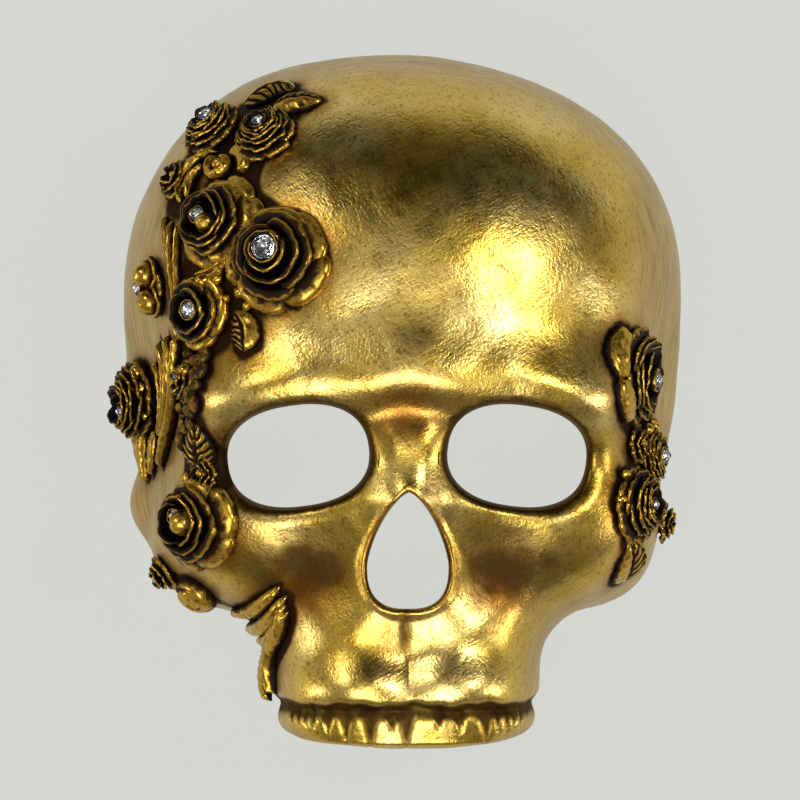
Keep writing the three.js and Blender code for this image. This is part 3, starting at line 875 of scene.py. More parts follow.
def spread_border(corners, corner, count, side, grow):
    """Angles and run lengths on the eye's outline for a border of count points: each corner
    goes to its own angle, and the points between two corners are spread evenly."""
    turn = np.linspace(0, 2 * np.pi, OUTLINE_STEPS)
    x, y = eye_outline(side, turn, grow)
    run = np.concatenate([[0], np.cumsum(np.hypot(np.diff(x), np.diff(y)))])
    u, v = eye_frame(corners[:, 0], corners[:, 1])
    angle = np.unwrap(np.arctan2(v / EYE_HALF_HEIGHT, u / EYE_HALF_LENGTH))
    way = 1 if angle[-1] > angle[0] else -1
    stop = np.append(angle, angle[0] + way * 2 * np.pi)
    arc = np.interp(stop % (2 * np.pi), turn, run) + run[-1] * np.floor(stop / (2 * np.pi))
    place = np.interp(np.arange(count), np.append(corner, count), arc)
    return np.interp(place % run[-1], run, turn), place / run[-1] % 1


def relax(plan, share):
    """Move each point towards the mean of its four neighbours by its share, many times."""
    for _ in range(RELAX_ROUNDS):
        mean = np.roll(plan, 1, 0) + np.roll(plan, -1, 0)
        mean[:, 1:-1] += plan[:, 2:] + plan[:, :-2]
        mean[:, 1:-1] /= 4
        plan[:, 1:-1] += (share[..., None] * (mean - plan))[:, 1:-1]


def open_eye(plan, flat, side, grow):
    """Leave out the block of quads inside one eye, put its border on the outline grown by some
    millimetres, and relax the grid around it, less and less away from the block."""
    (i0, i1), (j0, j1) = eye_block(plan, flat, side)
    across, along = np.arange(i0, i1), np.arange(j0, j1)
    ring_i = [across, np.full(len(along), i1), across[::-1] + 1, np.full(len(along), i0)]
    ring_j = [np.full(len(across), j0), along, np.full(len(across), j1), along[::-1] + 1]
    ring_i, ring_j = np.concatenate(ring_i), np.concatenate(ring_j)
    corner = np.cumsum([0, len(across), len(along), len(across)])
    corners = plan[ring_i[corner], ring_j[corner]]
    angle, place = spread_border(corners, corner, len(ring_i), side, grow)
    plan[ring_i, ring_j] = np.stack(eye_outline(side, angle, grow), -1)
    fixed = np.zeros(plan.shape[:2], bool)
    fixed[i0 : i1 + 1, j0 : j1 + 1] = True
    ii, jj = np.meshgrid(np.arange(plan.shape[0]), np.arange(plan.shape[1]), indexing="ij")
    off = np.maximum(np.maximum(i0 - ii, ii - i1), np.maximum(j0 - jj, jj - j1))
    room = max(j0 - 1, LEAST_ROOM)
    fading = 1 - smooth_step((off - RELAX_CORE * room) / room)
    relax(plan, np.where(fixed | ~flat | (jj == 0), 0, fading))
    hole = np.zeros(plan.shape[:2], bool)
    hole[i0:i1, j0:j1] = True
    return {"hole": hole, "ring": (ring_i, ring_j), "angle": angle, "place": place}


print("rounds of relaxing:", RELAX_ROUNDS)

# %% Both faces of the shell
OUTER_COLUMNS, OUTER_ROWS = 440, 184
INNER_COLUMNS, INNER_ROWS = 150, 60
OUTER_EYE_GROW = 3.0
INNER_EYE_GROW = 6.0
ALL_FLAT = 0.995


def skin(columns, rows, level, shape, grow):
    """One face of the shell: its points, and for each eye the hole, its border and places."""
    fan = Fan(columns, level)
    share = fan.even_shares(rows)
    start, direction = fan.rays(share)
    flat = share < ALL_FLAT
    plan = start[..., :2].copy()
    eyes = [open_eye(plan, flat, side, grow) for side in (-1, 1)]
    start[..., :2] = np.where(flat[..., None], plan, start[..., :2])
    points = meet(start, direction, level, shape=shape)
    shift = socket_fall(points[..., 0], points[..., 1], -level)
    points[..., 2] -= np.where(flat, shift, 0)
    return fan, points, eyes


outer_fan, outer, outer_eyes = skin(OUTER_COLUMNS, OUTER_ROWS, 0.0, fine_skull, OUTER_EYE_GROW)
_, inner, inner_eyes = skin(INNER_COLUMNS, INNER_ROWS, -WALL, skull, INNER_EYE_GROW)
print("outer skin", outer.shape[:2], "inner skin", inner.shape[:2])

# %% [markdown]
# ### Rounded edges
#
# A pressed shell has no sharp edge: the paper is folded over the rim and round each opening. A
# half circle joins the two faces there. At the eyes the outer face first rolls down into the
# socket along a quarter circle. The inner face has fewer points than the outer one, so a band of
# triangles closes the last gap.

# %% Edges of the shell
HALF_TURN = np.linspace(0, np.pi, 8)[1:]
LIP_REACH = 2.6
LIP_FALL = 3.0


def half_round(outside, inside, bulge):
    """Loops on a half circle from one loop to another: middle, half step and bulge."""
    middle, step = (outside + inside) / 2, (outside - inside) / 2
    turn = HALF_TURN[:, None, None]
    return middle + step * np.cos(turn) + bulge * np.sin(turn)


def above(x, y):
    """The fine skull's points straight above places in plan."""
    start = np.stack([x, y, np.zeros_like(x)], -1)
    return meet(start, [0.0, 0.0, 1.0], shape=fine_skull)


def eye_lip(side, angle):
    """Loops from the eye's border inwards and down a quarter circle, then back up behind it."""
    quarter = np.linspace(0, np.pi / 2, 8)
    grow = np.concatenate([LIP_REACH * (1 - np.sin(quarter)), EDGE_ROUND * (1 - np.cos(HALF_TURN))])
    fall = np.concatenate([LIP_FALL * (1 - np.cos(quarter)), LIP_FALL + EDGE_ROUND * np.sin(HALF_TURN)])
    x, y = eye_outline(side, angle[None, :], grow[:, None])
    points = above(x, y)
    ease = np.where(np.arange(len(grow)) < len(quarter), socket_fall(x, y).T, SOCKET_FALL).T
    points[..., 2] -= fall[:, None] + ease
    return points


print("the rim and the nose hole are rounded with a radius of", EDGE_ROUND, "mm")

# %% Points and faces of the shell
OUTSIDE, INSIDE, EDGE = 0, 1, 2
count = 0
shell_points, shell_faces, shell_kind = [], [], []


def add_points(points, kind):
    """Append a grid of points to the shell and hand back their numbers."""
    global count
    flat = points.reshape(-1, 3)
    shell_points.append(flat)
    shell_kind.append(np.full(len(flat), float(kind)))
    numbers = np.arange(count, count + len(flat)).reshape(points.shape[:-1])
    count += len(flat)
    return numbers


def add_grid(numbers, keep=None):
    """Append the quads between a grid's points, less those that keep leaves out."""
    rows, columns = numbers.shape
    faces = numbers.ravel()[grid_faces(rows, columns, closed=True)]
    shell_faces.append(faces if keep is None else faces[keep.ravel()])


outer_numbers = add_points(outer.transpose(1, 0, 2), OUTSIDE)
inner_numbers = add_points(inner.transpose(1, 0, 2), INSIDE)
for numbers, eyes in ((outer_numbers, outer_eyes), (inner_numbers, inner_eyes)):
    hole = eyes[0]["hole"] | eyes[1]["hole"]
    add_grid(numbers, ~hole.T[:-1])

turn_place = np.arange(OUTER_COLUMNS) / OUTER_COLUMNS
inner_place = np.arange(INNER_COLUMNS) / INNER_COLUMNS
nose_back = meet(outer[:, 0] * [1, 1, 0], [0, 0, 1], -WALL)
rim_start = outer_fan.centre + [0, 0, 1] * outer_fan.trim[:, None]
rim_back = meet(rim_start, outer_fan.out, -WALL, RIM_RAY_START)
edges = (
    (0, outer[:, 0], nose_back, -outer_fan.out * EDGE_ROUND),
    (-1, outer[:, -1], rim_back, np.array([0, 0, -EDGE_ROUND])),
)
for row, outside, inside, bulge in edges:
    loops = add_points(half_round(outside, inside, bulge), EDGE)
    add_grid(np.concatenate([outer_numbers[row][None], loops]))
    shell_faces.append(band(loops[-1], inner_numbers[row], turn_place, inner_place))
for side, border, behind in zip((-1, 1), outer_eyes, inner_eyes):
    loops = add_points(eye_lip(side, border["angle"]), EDGE)
    start = outer_numbers[border["ring"][1], border["ring"][0]]
    add_grid(np.concatenate([start[None], loops]))
    back = inner_numbers[behind["ring"][1], behind["ring"][0]]
    shell_faces.append(band(loops[-1], back, border["place"], behind["place"]))
shell_points = np.concatenate(shell_points)
shell_kind = np.concatenate(shell_kind)
print("shell faces:", sum(len(group) for group in shell_faces))

# %% [markdown]
# ## Seats for the castings
#
# A casting is given by the angle round the head from its front and the height up the face, the
# two numbers that a maker would mark on the shell. A horizontal ray finds that place on the
# skull, and the surface there gives the directions right, up and outward. Points are then laid
# on the skull one by one, so the back of every casting follows the curve under it. The castings
# could be bent onto the shell with modifiers, but then none would know where its own edge lies.

# %% Find a seat and lay points on it
# Rays to the skull begin this far below a seat's plane and come in from this far along
LAY_BELOW, LAY_START = 16, 30


class Seat:
    """A place on the skull with its own axes; angles and heights may be arrays. Face turns the
    outward axis towards the camera by so much."""

    def __init__(self, angle, y, face=0.0):
        a, y = np.radians(angle), np.asarray(y, float)
        zero = np.zeros_like(y)
        start = np.stack([zero, y, zero], -1)
        self.point = meet(start, np.stack([np.sin(a), zero, np.cos(a)], -1))
        self.out = unit(outward(self.point) + np.array([0, 0, face]))
        self.right = unit(np.cross([0.0, 1.0, 0.0], self.out))
        self.up = np.cross(self.out, self.right)

    def lay(self, u, v, w, bend=1.0):
        """Points u to the right, v up and w above the skull; bend is how much of the skull's
        fall away from the seat they follow."""
        u, v, w = np.broadcast_arrays(u, v, w)
        p = self.point + u[..., None] * self.right + v[..., None] * self.up
        base = meet(p - self.out * LAY_BELOW, self.out, far=LAY_START)
        fall = (base - self.point) @ self.out
        return p + self.out * (w + fall * bend)[..., None]

    def place(self, u, v):
        """The point of the skull u to the right and v up from the seat."""
        return self.lay(np.array([u]), np.array([v]), np.array([0.0]))[0]


print("the middle of the forehead is at", Seat(0, CROWN_Y).point.round(1), "mm")

# %% Castings
LUMP_SHIFT = 0.11
# How much of the skull's fall away from a seat its petals and knobs follow
BEND = 0.9
# How far the back of a casting lies below the skull's surface
SINK = 0.4
castings = []


def lumps(p):
    """Small shifts that make a casting look poured and hand rubbed: sine waves 4 mm long."""
    x, y, z = p.T
    shifts = [np.sin(1.7 * y + 0.9 * z + 1), np.sin(1.9 * z + 0.8 * x + 2), np.sin(1.6 * x + 1.1 * y)]
    return LUMP_SHIFT * np.stack(shifts, -1)


class Casting:
    """The sheets of one resin casting, gathered and then welded into one piece."""

    def __init__(self, name):
        self.name = name
        self.points, self.faces, self.lift, self.spots = [], [], [], []
        self.count = 0
        castings.append(self)

    def sheet(self, points, lift):
        """Add a grid of points, each with its lift: 0 in a recess, 1 on a rubbed edge."""
        # A low lift paints black glaze and also the shade that falls in a recess
        rows, columns = points.shape[:2]
        self.faces.append(grid_faces(rows, columns, self.count, closed=True))
        self.points.append(points.reshape(-1, 3))
        self.lift.append(np.broadcast_to(lift, (rows, columns)).ravel())
        self.count += rows * columns

    def finish(self, finish):
        """Make the mesh, weld doubled points and point its faces outward."""
        points, lift = np.concatenate(self.points), np.concatenate(self.lift)
        points = points + lumps(points)
        piece = make_piece("gilt_" + self.name, points, self.faces, finish, {"lift": lift})
        weld(piece.data, WELD * MM)
        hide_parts(self.name)


print("seats and castings are ready")

# %% [markdown]
# ## Petals
#
# A petal is a thin wall that leans outward, with a rolled lip, bent round the heart of its rose.
# Its centre line in side view is a cubic curve from its foot to its lip. The wall is that line
# with half its thickness on either side, carried round an arc. Towards both sides of the petal
# the wall thins, sinks and tucks in, so neighbours overlap. Petals could be sculpted one by one,
# but a formula makes more than two hundred of them, and no two are quite the same.

# %% One petal
# Places across a petal, and up its wall from foot to lip
ACROSS = np.linspace(-1, 1, 21)[:, None]
UP_WALL = np.linspace(0, 1, 9)[None, :]
# How far the sides of a petal tuck in, sink and lose their shine, and how far one stands out
SIDE_TUCK, SIDE_SINK, SIDE_DULL, SIDE_TWIST = 0.16, 0.34, 0.3, 0.06


def cubic(guides):
    """Values up a petal's wall on the cubic curve with four guides."""
    v = UP_WALL
    weights = [(1 - v) ** 3, 3 * v * (1 - v) ** 2, 3 * v**2 * (1 - v), v**3]
    return sum(weight * guide for weight, guide in zip(weights, guides))


def ruffle(middle, depth):
    """Waves along a petal's lip: two cosines across it, which differ from petal to petal."""
    slow = np.cos(2.2 * np.pi * ACROSS + 5 * middle)
    return depth * (slow + 0.6 * np.cos(4.1 * np.pi * ACROSS + 9 * middle))


def petal(middle, span, base, lip, foot, rim, curl, thick, shine, wave):
    """Wall of one petal as radius, angle, height and lift on a grid. Across it, u runs from
    -1 to 1; round its profile, the outer side goes up, turns over the lip and comes down."""
    u, v = ACROSS, UP_WALL
    reach = lip - base
    ripple = ruffle(middle, wave)
    # Guides of the wall's centre line: up from the foot, then out to the lip, which curls down
    radius = cubic((base, base + 0.12 * reach, lip - 0.34 * reach, lip))
    height = cubic((foot, foot + 0.7 * (rim - foot), rim * 1.04, rim - curl))
    radius = radius * (1 - SIDE_TUCK * u**4 + SIDE_TWIST * u) + v**2 * ripple
    height = foot + (height - foot) * (1 - SIDE_SINK * np.abs(u) ** 3) + 0.5 * v**2 * ripple
    along = unit(np.stack([np.gradient(radius, axis=1), np.gradient(height, axis=1)], -1))
    half = 0.5 * thick * np.sqrt(np.clip(1 - u**6, 0, 1)) * (0.7 + 0.5 * v**3)
    outer = (radius + along[..., 1] * half, height - along[..., 0] * half)
    inner = (radius - along[..., 1] * half, height + along[..., 0] * half)
    push = 0.8 * half[:, -1:]
    tip = [line[:, -1:] + along[:, -1:, k] * push for k, line in enumerate((radius, height))]
    loop = [np.concatenate([a, b, c[:, ::-1]], 1) for a, b, c in zip(outer, tip, inner)]
    # Lift rises up the wall to the lip and falls off at the sides, so petal feet and tucked sides turn
    # black: rubbed gilding, and painted shade between the petals
    rise = np.concatenate([v ** (0.8 * shine), np.ones((1, 1)), v[:, ::-1] ** shine], 1)
    lift = np.minimum(1.25 * rise, 1) * (1 - SIDE_DULL * np.abs(u) ** 5)
    return loop[0], middle + span * u + 0 * loop[0], loop[1], lift


print("a petal's wall has", ACROSS.size, "by", 2 * UP_WALL.size + 1, "points")

# %% Rings of petals
# Rings of a rose from its edge to its heart: number of petals, half span in degrees, then as
# shares of its radius foot and lip, as shares of its height foot, lip and curl, thickness in
# mm, and how closely the rubbed gold keeps to the lip
OPEN_ROSE = (
    (5, 45, 0.56, 1.00, 0.02, 0.42, 0.24, 2.5, 1.5),
    (4, 57, 0.54, 0.80, 0.05, 0.74, 0.12, 1.5, 4.0),
    (3, 78, 0.45, 0.61, 0.10, 0.96, 0.05, 1.25, 5.0),
    (2, 106, 0.30, 0.42, 0.18, 1.00, 0.00, 1.1, 6.0),
)
BALL_ROSE = (
    (5, 45, 0.56, 1.00, 0.02, 0.44, 0.24, 2.5, 1.5),
    (4, 57, 0.54, 0.80, 0.05, 0.76, 0.12, 1.3, 4.0),
    (3, 80, 0.48, 0.66, 0.10, 0.94, 0.05, 1.0, 6.0),
    (3, 80, 0.42, 0.54, 0.14, 1.00, 0.00, 0.9, 6.0),
)
DENSE_ROSE = (
    (6, 38, 0.62, 1.00, 0.02, 0.44, 0.16, 1.2, 4.0),
    (5, 46, 0.56, 0.87, 0.06, 0.66, 0.08, 0.85, 7.0),
    (4, 60, 0.50, 0.75, 0.10, 0.82, 0.04, 0.8, 8.0),
    (4, 60, 0.43, 0.64, 0.14, 0.93, 0.02, 0.75, 8.0),
    (3, 80, 0.36, 0.54, 0.18, 1.00, 0.00, 0.7, 8.0),
    (3, 80, 0.30, 0.44, 0.20, 0.97, 0.00, 0.7, 8.0),
)
LITTLE_ROSE = (
    (5, 46, 0.50, 1.00, 0.02, 0.50, 0.18, 1.0, 3.0),
    (4, 56, 0.38, 0.72, 0.10, 0.80, 0.05, 0.75, 5.0),
    (3, 72, 0.26, 0.46, 0.18, 1.00, 0.00, 0.7, 6.0),
)
print("rings in a dense rose:", len(DENSE_ROSE))

# %% Cushions and roses
# Petals thicker than this many mm ruffle less, by this factor
THICK_PETAL, THICK_CALM = 2, 0.35
chance = np.random.default_rng(11)


def dome(casting, seat, radius, height):
    """A cushion under the petals: a disc that rises to its middle and is closed below."""
    share = np.concatenate([np.linspace(0.0, 1, 7), [0.98, 0.0]])[:, None]
    turn = np.linspace(0, 2 * np.pi, 24, endpoint=False)[None, :]
    rise = np.where(np.arange(9)[:, None] < 7, height * (1 - share**2), -SINK)
    u = radius * share * np.cos(turn)
    v = radius * share * np.sin(turn)
    # The cushion has lift 0, so it is black: glaze and painted shade under the petals
    casting.sheet(seat.lay(u, v, rise + 0 * turn), 0.0)
    casting.spots.append((seat.place(0, 0), 1.25 * radius))


def petals(casting, seat, radius, height, heart, rings, wave, turn=0.0):
    """Rings of petals whose middles move towards the heart as the rings get smaller."""
    for ring, (number, span, base, lip, foot, rim, curl, thick, shine) in enumerate(rings):
        middle = np.array(heart) * (1 - lip)
        for k in range(number):
            jog = chance.uniform(-1, 1, 4)
            sizes = (base * radius, lip * radius * (1 + 0.05 * jog[0]))
            tall = (foot * height, rim * height * (1 + 0.07 * jog[1]), curl * height)
            around = turn + 2 * np.pi * (k + 0.5 * ring + 0.12 * jog[2]) / number
            calm = THICK_CALM if thick > THICK_PETAL else 1.0
            depth = wave * radius * (0.5 + 0.5 * abs(jog[3])) * calm
            wall = petal(around, math.radians(span), *sizes, *tall, thick, shine, depth)
            r, a, w, lift = wall
            u, v = middle[0] + r * np.cos(a), middle[1] + r * np.sin(a)
            casting.sheet(seat.lay(u, v, w, BEND), lift)


def rose(name, angle, y, radius, height, heart, rings, wave, turn=0.0):
    """A rose: rings of petals round a heart that lies off the middle, on a dark cushion."""
    seat = Seat(angle, y)
    casting = Casting(name)
    dome(casting, seat, radius * 0.78, height * 0.3)
    petals(casting, seat, radius, height, heart, rings, wave, turn)
    return casting, seat


print("petals in a dense rose:", sum(ring[0] for ring in DENSE_ROSE))

# %% [markdown]
# ## Leaves, vines and curls
#
# Everything long is carried along a path on the skull. A smooth curve runs through a few marked
# places, and at every step the section lies across it. Leaves swell and come to a point, and
# their ribs are slanting cuts on both sides of a groove. Vines are half round, and a curl is a
# vine wound into a spiral. A bevelled curve could do for a vine, but its back would not follow
# the skull.

# %% Paths and strips
# Rays to the skull begin this far below a path and come in from this far along
PATH_BELOW, PATH_START = 14, 26
# The back of a strip has this share of its width
FOOT_SHARE = 0.94


def smooth_path(places, steps):
    """Points of a smooth curve through places, and its directions: between each two places it
    is a cubic, whose slope at a place is that between the places before and after it."""
    p = np.asarray(places, float)
    p = np.concatenate([2 * p[:1] - p[1:2], p, 2 * p[-1:] - p[-2:-1]])
    t = np.linspace(0, len(p) - 3, steps)
    k = np.minimum(t.astype(int), len(p) - 4)
    f = (t - k)[:, None]
    a, b, c, d = p[k], p[k + 1], p[k + 2], p[k + 3]
    points = b + 0.5 * f * (c - a + f * (2 * a - 5 * b + 4 * c - d + f * (3 * (b - c) + d - a)))
    return points, unit(np.gradient(points, axis=0))


def marked(path):
    """Points on the skull for a list of angles and heights."""
    angle, y = np.array(path, float).T
    return Seat(angle, y).point


def strip(casting, path, half, section, lift, lean):
    """Carry a section along a path: half is the half width at each step, section gives for
    each step and each place x from -1 to 1 the height of the top; the back lies on the skull.
    Lean lifts the side that it points to, by so much for each millimetre across."""
    points, along = path
    out = outward(points)
    out = unit(out + 2 * out.mean(0))
    side = unit(np.cross(along, out))
    x = np.linspace(-1, 1, section.shape[1])
    p = points[:, None] + side[:, None] * (half[:, None] * x)[..., None]
    base = meet(p - out[:, None] * PATH_BELOW, out[:, None], far=PATH_START)
    tilt = np.maximum(lean * x, 0) * half[:, None]
    top = base + out[:, None] * (section + tilt)[..., None]
    foot = points[:, None] + side[:, None] * (half[:, None] * x * FOOT_SHARE)[..., None]
    foot = meet(foot - out[:, None] * PATH_BELOW, out[:, None], -SINK, PATH_START)
    loop = np.concatenate([top, foot[:, ::-1]], 1)
    casting.sheet(loop, np.concatenate([lift, np.zeros_like(lift)], 1))
    casting.spots.extend(zip(points[::4], half[::4]))


print("rays for strips begin", PATH_BELOW, "mm below the path")

# %% Leaves and vines
LEAF_STEPS, LEAF_ACROSS = 60, 25
VINE_STEPS, VINE_ACROSS = 46, 15


def leaf(casting, width, height, path, ribs=7, left=True, right=True, lean=0.0):
    """A leaf: its half width swells as a bent sine, its top is a low arch with a groove along
    the middle, and slanting cuts on the sides that have ribs."""
    line = smooth_path(marked(path), LEAF_STEPS)
    length = np.linalg.norm(np.diff(line[0], axis=0), axis=1).sum()
    t = np.linspace(0, 1, LEAF_STEPS)
    half = width / 2 * np.clip(np.sin(np.pi * t**0.8), 0, 1) ** 0.62
    x = np.linspace(-1, 1, LEAF_ACROSS)[None, :]
    t = t[:, None]
    swell = np.clip(np.sin(np.pi * t**0.9), 0, 1) ** 0.4
    slant = 0.7 * ribs * width / 2 / length
    cut = (0.5 + 0.5 * np.cos(2 * np.pi * (ribs * t - slant * np.abs(x)))) ** 3
    cut = cut * np.where(x < 0, float(left), float(right)) * np.clip(8 * np.abs(x) - 0.6, 0, 1)
    middle = bell(x, 0.09)
    arch = 1 - 0.8 * np.abs(x) ** 2.2 + 0.1 * bell(np.abs(x) - 0.9, 0.1)
    # Ribs, the middle groove and the edges get a low lift and turn dark: glaze, and painted shade in
    # the cuts
    lift = np.clip(1.0 - 1.0 * cut - 0.9 * middle - 0.8 * np.abs(x) ** 12, 0, 1) + 0 * t
    section = height * (arch - 0.24 * cut - 0.3 * middle) * swell + 0.05
    strip(casting, line, half, section, lift, lean)


def vine(casting, width, height, points, tip, groove=0.0, lean=0.0):
    """A half-round vine or ribbon that tapers to a share of its width at both ends, with a
    groove along its middle where one is asked for."""
    line = smooth_path(points, VINE_STEPS)
    t = np.linspace(0, 1, VINE_STEPS)
    swell = tip + (1 - tip) * np.clip(np.sin(np.pi * t), 0, 1) ** 0.7
    ends = np.clip(np.minimum(t, 1 - t) * VINE_STEPS / 3.0, 0, 1) ** 0.5
    half = width / 2 * swell * ends
    x = np.linspace(-1, 1, VINE_ACROSS)[None, :]
    arch = np.sqrt(np.clip(1 - x**2, 0, 1)) ** 0.8 - groove * bell(x, 0.22)
    section = height * (0.5 + 0.5 * swell * ends)[:, None] * arch * ends[:, None] + 0.03
    # The flanks and the groove get a low lift and turn dark: glaze, and painted shade at the vine's
    # sides
    lift = np.clip(2.2 * arch - 0.4 - 1.2 * groove * bell(x, 0.2), 0, 1) + 0 * section
    strip(casting, line, half, section, lift, lean)


print("a leaf has", LEAF_STEPS, "steps along it and a vine has", VINE_STEPS)


# %% Knobs, rings and curls
def spiral(casting, seat, radius, turns, start, width, height):
    """A curl: a vine wound inward, its radius shrinking evenly."""
    t = np.linspace(0, 1, 14)
    r = radius * (1 - 0.5 * t)
    a = start + 2 * np.pi * turns * t
    u, v = r * np.cos(a), r * np.sin(a)
    vine(casting, width, height, seat.lay(u, v, 0 * u), 0.6)


def ball(casting, seat, centre, radius, tall, stretch=1.0, lift=1.0):
    """A rounded knob: an ellipsoid with its lowest part in the skull."""
    polar = np.linspace(0, np.pi, 15)[:, None]
    turn = np.linspace(0, 2 * np.pi, 28, endpoint=False)[None, :]
    u = centre[0] + radius * np.sin(polar) * np.cos(turn)
    v = centre[1] + stretch * radius * np.sin(polar) * np.sin(turn)
    w = tall * (0.42 + 0.58 * np.cos(polar)) + 0 * turn
    # Gold on the top and black towards the skull: the rubbed high point, and painted shade under the
    # knob
    shade = lift * np.clip(0.62 + 0.9 * np.cos(polar), 0, 1) + 0 * turn
    casting.sheet(seat.lay(u, v, w, BEND), shade)


def collar(casting, seat, centre, radius, thick, rise, tall):
    """A rolled ring: a small ellipse carried round a circle, a little uneven."""
    around = np.linspace(0, 2 * np.pi, 9)[:, None]
    turn = np.linspace(0, 2 * np.pi, 36, endpoint=False)[None, :]
    r = radius + thick * np.cos(around) + 0.12 * np.cos(3 * turn + 1)
    u = centre[0] + r * np.cos(turn)
    v = centre[1] + r * np.sin(turn)
    w = rise + tall * np.sin(around) + 0.15 * np.sin(4 * turn)
    # Gold on top of the ring and black below it: rubbed gold, and painted shade under the roll
    shade = np.clip(0.4 + 0.9 * np.sin(around), 0, 1) + 0 * turn
    casting.sheet(seat.lay(u, v, w, BEND), shade)


def whorl(casting, seat, radius, height):
    """A smooth shell-like curl: a dome with a spiral slit that runs in from its edge."""
    share = np.concatenate([np.linspace(0.0, 1, 26), [0.97, 0.0]])[:, None]
    turn = np.linspace(0, 2 * np.pi, 64, endpoint=False)[None, :]
    line = 0.18 + 0.74 * ((turn / (2 * np.pi) + 0.45) % 1)
    side = np.abs((turn / np.pi) % 2 - 1.2)
    slit = bell(share - line, 0.07) * bell(side, 0.5)
    rise = height * (np.sqrt(np.clip(1 - share**2.4, 0, 1)) - 0.34 * slit * (share < 0.98))
    rise = np.where(np.arange(28)[:, None] < 26, rise, -SINK)
    u, v = radius * share * np.cos(turn), radius * share * np.sin(turn)
    # Dark in the slit and towards the rim: glaze, and painted shade in the slit and at the foot
    shade = np.clip(1.15 - 1.5 * slit - 0.6 * share**6, 0, 1)
    casting.sheet(seat.lay(u, v, rise + 1.6, 0.5), shade)
    casting.spots.append((seat.point, radius))


print("knobs, rings and curls are ready")

# %% [markdown]
# ## Cut stones and their cups
#
# A stone is clear glass cut with a flat table, rings of crown facets and a pointed back, and its
# back is silvered, so it throws the light forward again. It sits in a thin gold cup. The solid
# of each stone gives its place. A stone could be carved from a sphere by planes, but eight rings
# of ten points give the same facets at once.

# %% Stones
STONES = {}
FACETS = 10
# How far the point of a stone lies below the middle of its solid, in stone radii
POINT_BELOW = 0.55
# Rings of a stone from its table to its point: radius, height and turn, in stone radii and
# facets; the last three rings are the silvered back
CUT_RINGS = (
    (0.0, 1.08, 0.0),
    (0.52, 1.08, 0.0),
    (0.74, 0.96, 0.5),
    (0.90, 0.80, 0.0),
    (1.0, 0.60, 0.5),
    (1.0, 0.52, 0.5),
    (0.55, 0.22, 0.0),
    (0.0, 0.0, 0.0),
)
# Rings of a cup's wall from its foot over its rim to its floor: radius and height in stone
# radii, and lift
# The low lift at the cup's foot and on its floor paints them dark: glaze and painted shade
CUP_RINGS = (
    (0.0, -1.3, 0),
    (1.06, -0.8, 0),
    (1.24, 0.1, 0.5),
    (1.30, 0.60, 1),
    (1.20, 0.76, 1),
    (1.07, 0.62, 0.7),
    (1.03, 0.20, 0.1),
    (0.0, -0.1, 0.1),
)


def stone(casting, seat, radius):
    """Seat a stone where its solid is: the wall of its cup, then the facets themselves."""
    low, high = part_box("crystal_" + casting.name)
    middle = (np.array(low) + np.array(high)) / 2 / MM - FACE_STEP
    foot = middle - seat.out * POINT_BELOW * radius

    def ring_points(r, w, around):
        """Points at r from the stone's axis, w above its foot and at angles around it."""
        across = np.cos(around)[..., None] * seat.right + np.sin(around)[..., None] * seat.up
        return foot + across * (r * radius)[..., None] + seat.out * (w * radius)[..., None]

    turn = np.linspace(0, 2 * np.pi, 32, endpoint=False)[None, :]
    cup = np.array(CUP_RINGS)
    cup_points = ring_points(cup[:, :1] + 0 * turn, cup[:, 1:2] + 0 * turn, turn)
    casting.sheet(cup_points, cup[:, 2:])
    rows = np.array(CUT_RINGS)
    corner = np.arange(FACETS)[None, :] + rows[:, 2:]
    around = 2 * np.pi / FACETS * corner
    STONES[casting.name] = ring_points(rows[:, :1] + 0 * around, rows[:, 1:2] + 0 * around, around)


print("a stone has", FACETS, "sides and", len(CUT_RINGS), "rings")

# %% [markdown]
# ## The garland on both temples
#
# The places below were read off the photograph: degrees round the head and millimetres up the
# face. Every rose leans to its own side, so each has the step from its middle to its heart.

# %% Roses
# Every rose: angle, height up the face, radius, height, step to its heart, rings, ruffle, turn
# and the radius of its stone
ROSES = {
    "rose_forehead": (-26.5, 42, 15.4, 8.5, (-3.4, 3.0), OPEN_ROSE, 0.02, 0.5, 3.8),
    "rose_temple_top": (-41, 53, 12.8, 8, (-5, 1.0), BALL_ROSE, 0.035, 0.2, 2.2),
    "rose_temple_middle": (-44.6, 26.5, 10.8, 7, (-2.0, 0.6), OPEN_ROSE[:3], 0.03, 0.9, 2.5),
    "rose_cheek_left": (-47.5, -37.5, 13.6, 8.5, (-4.2, 3.0), BALL_ROSE, 0.03, 0.3, 2.1),
    "rose_temple_low": (-77.5, 0.5, 11.6, 9, (-4, -4), DENSE_ROSE, 0.06, 0.0, 2.7),
    "rose_crown_left": (-54, 82, 9.4, 6.5, (-1.4, 2.6), DENSE_ROSE, 0.08, 0.6, 2.9),
    "rose_crown_right": (-35.5, 79.5, 9.2, 6.2, (-2, 2.4), DENSE_ROSE, 0.065, 0.1, 2.3),
    "rose_brow_right": (53.5, 7.5, 14.4, 7, (7.8, -1), DENSE_ROSE[:4], 0.045, 0.4, 2.8),
    "rose_eye_right": (67.5, -17, 8.4, 5, (2.6, -0.6), DENSE_ROSE[:5], 0.07, 0.0, 2.6),
    "rose_cheek_right": (53.5, -32, 11.2, 7, (5, -0.5), DENSE_ROSE, 0.065, 0.7, 2.0),
}
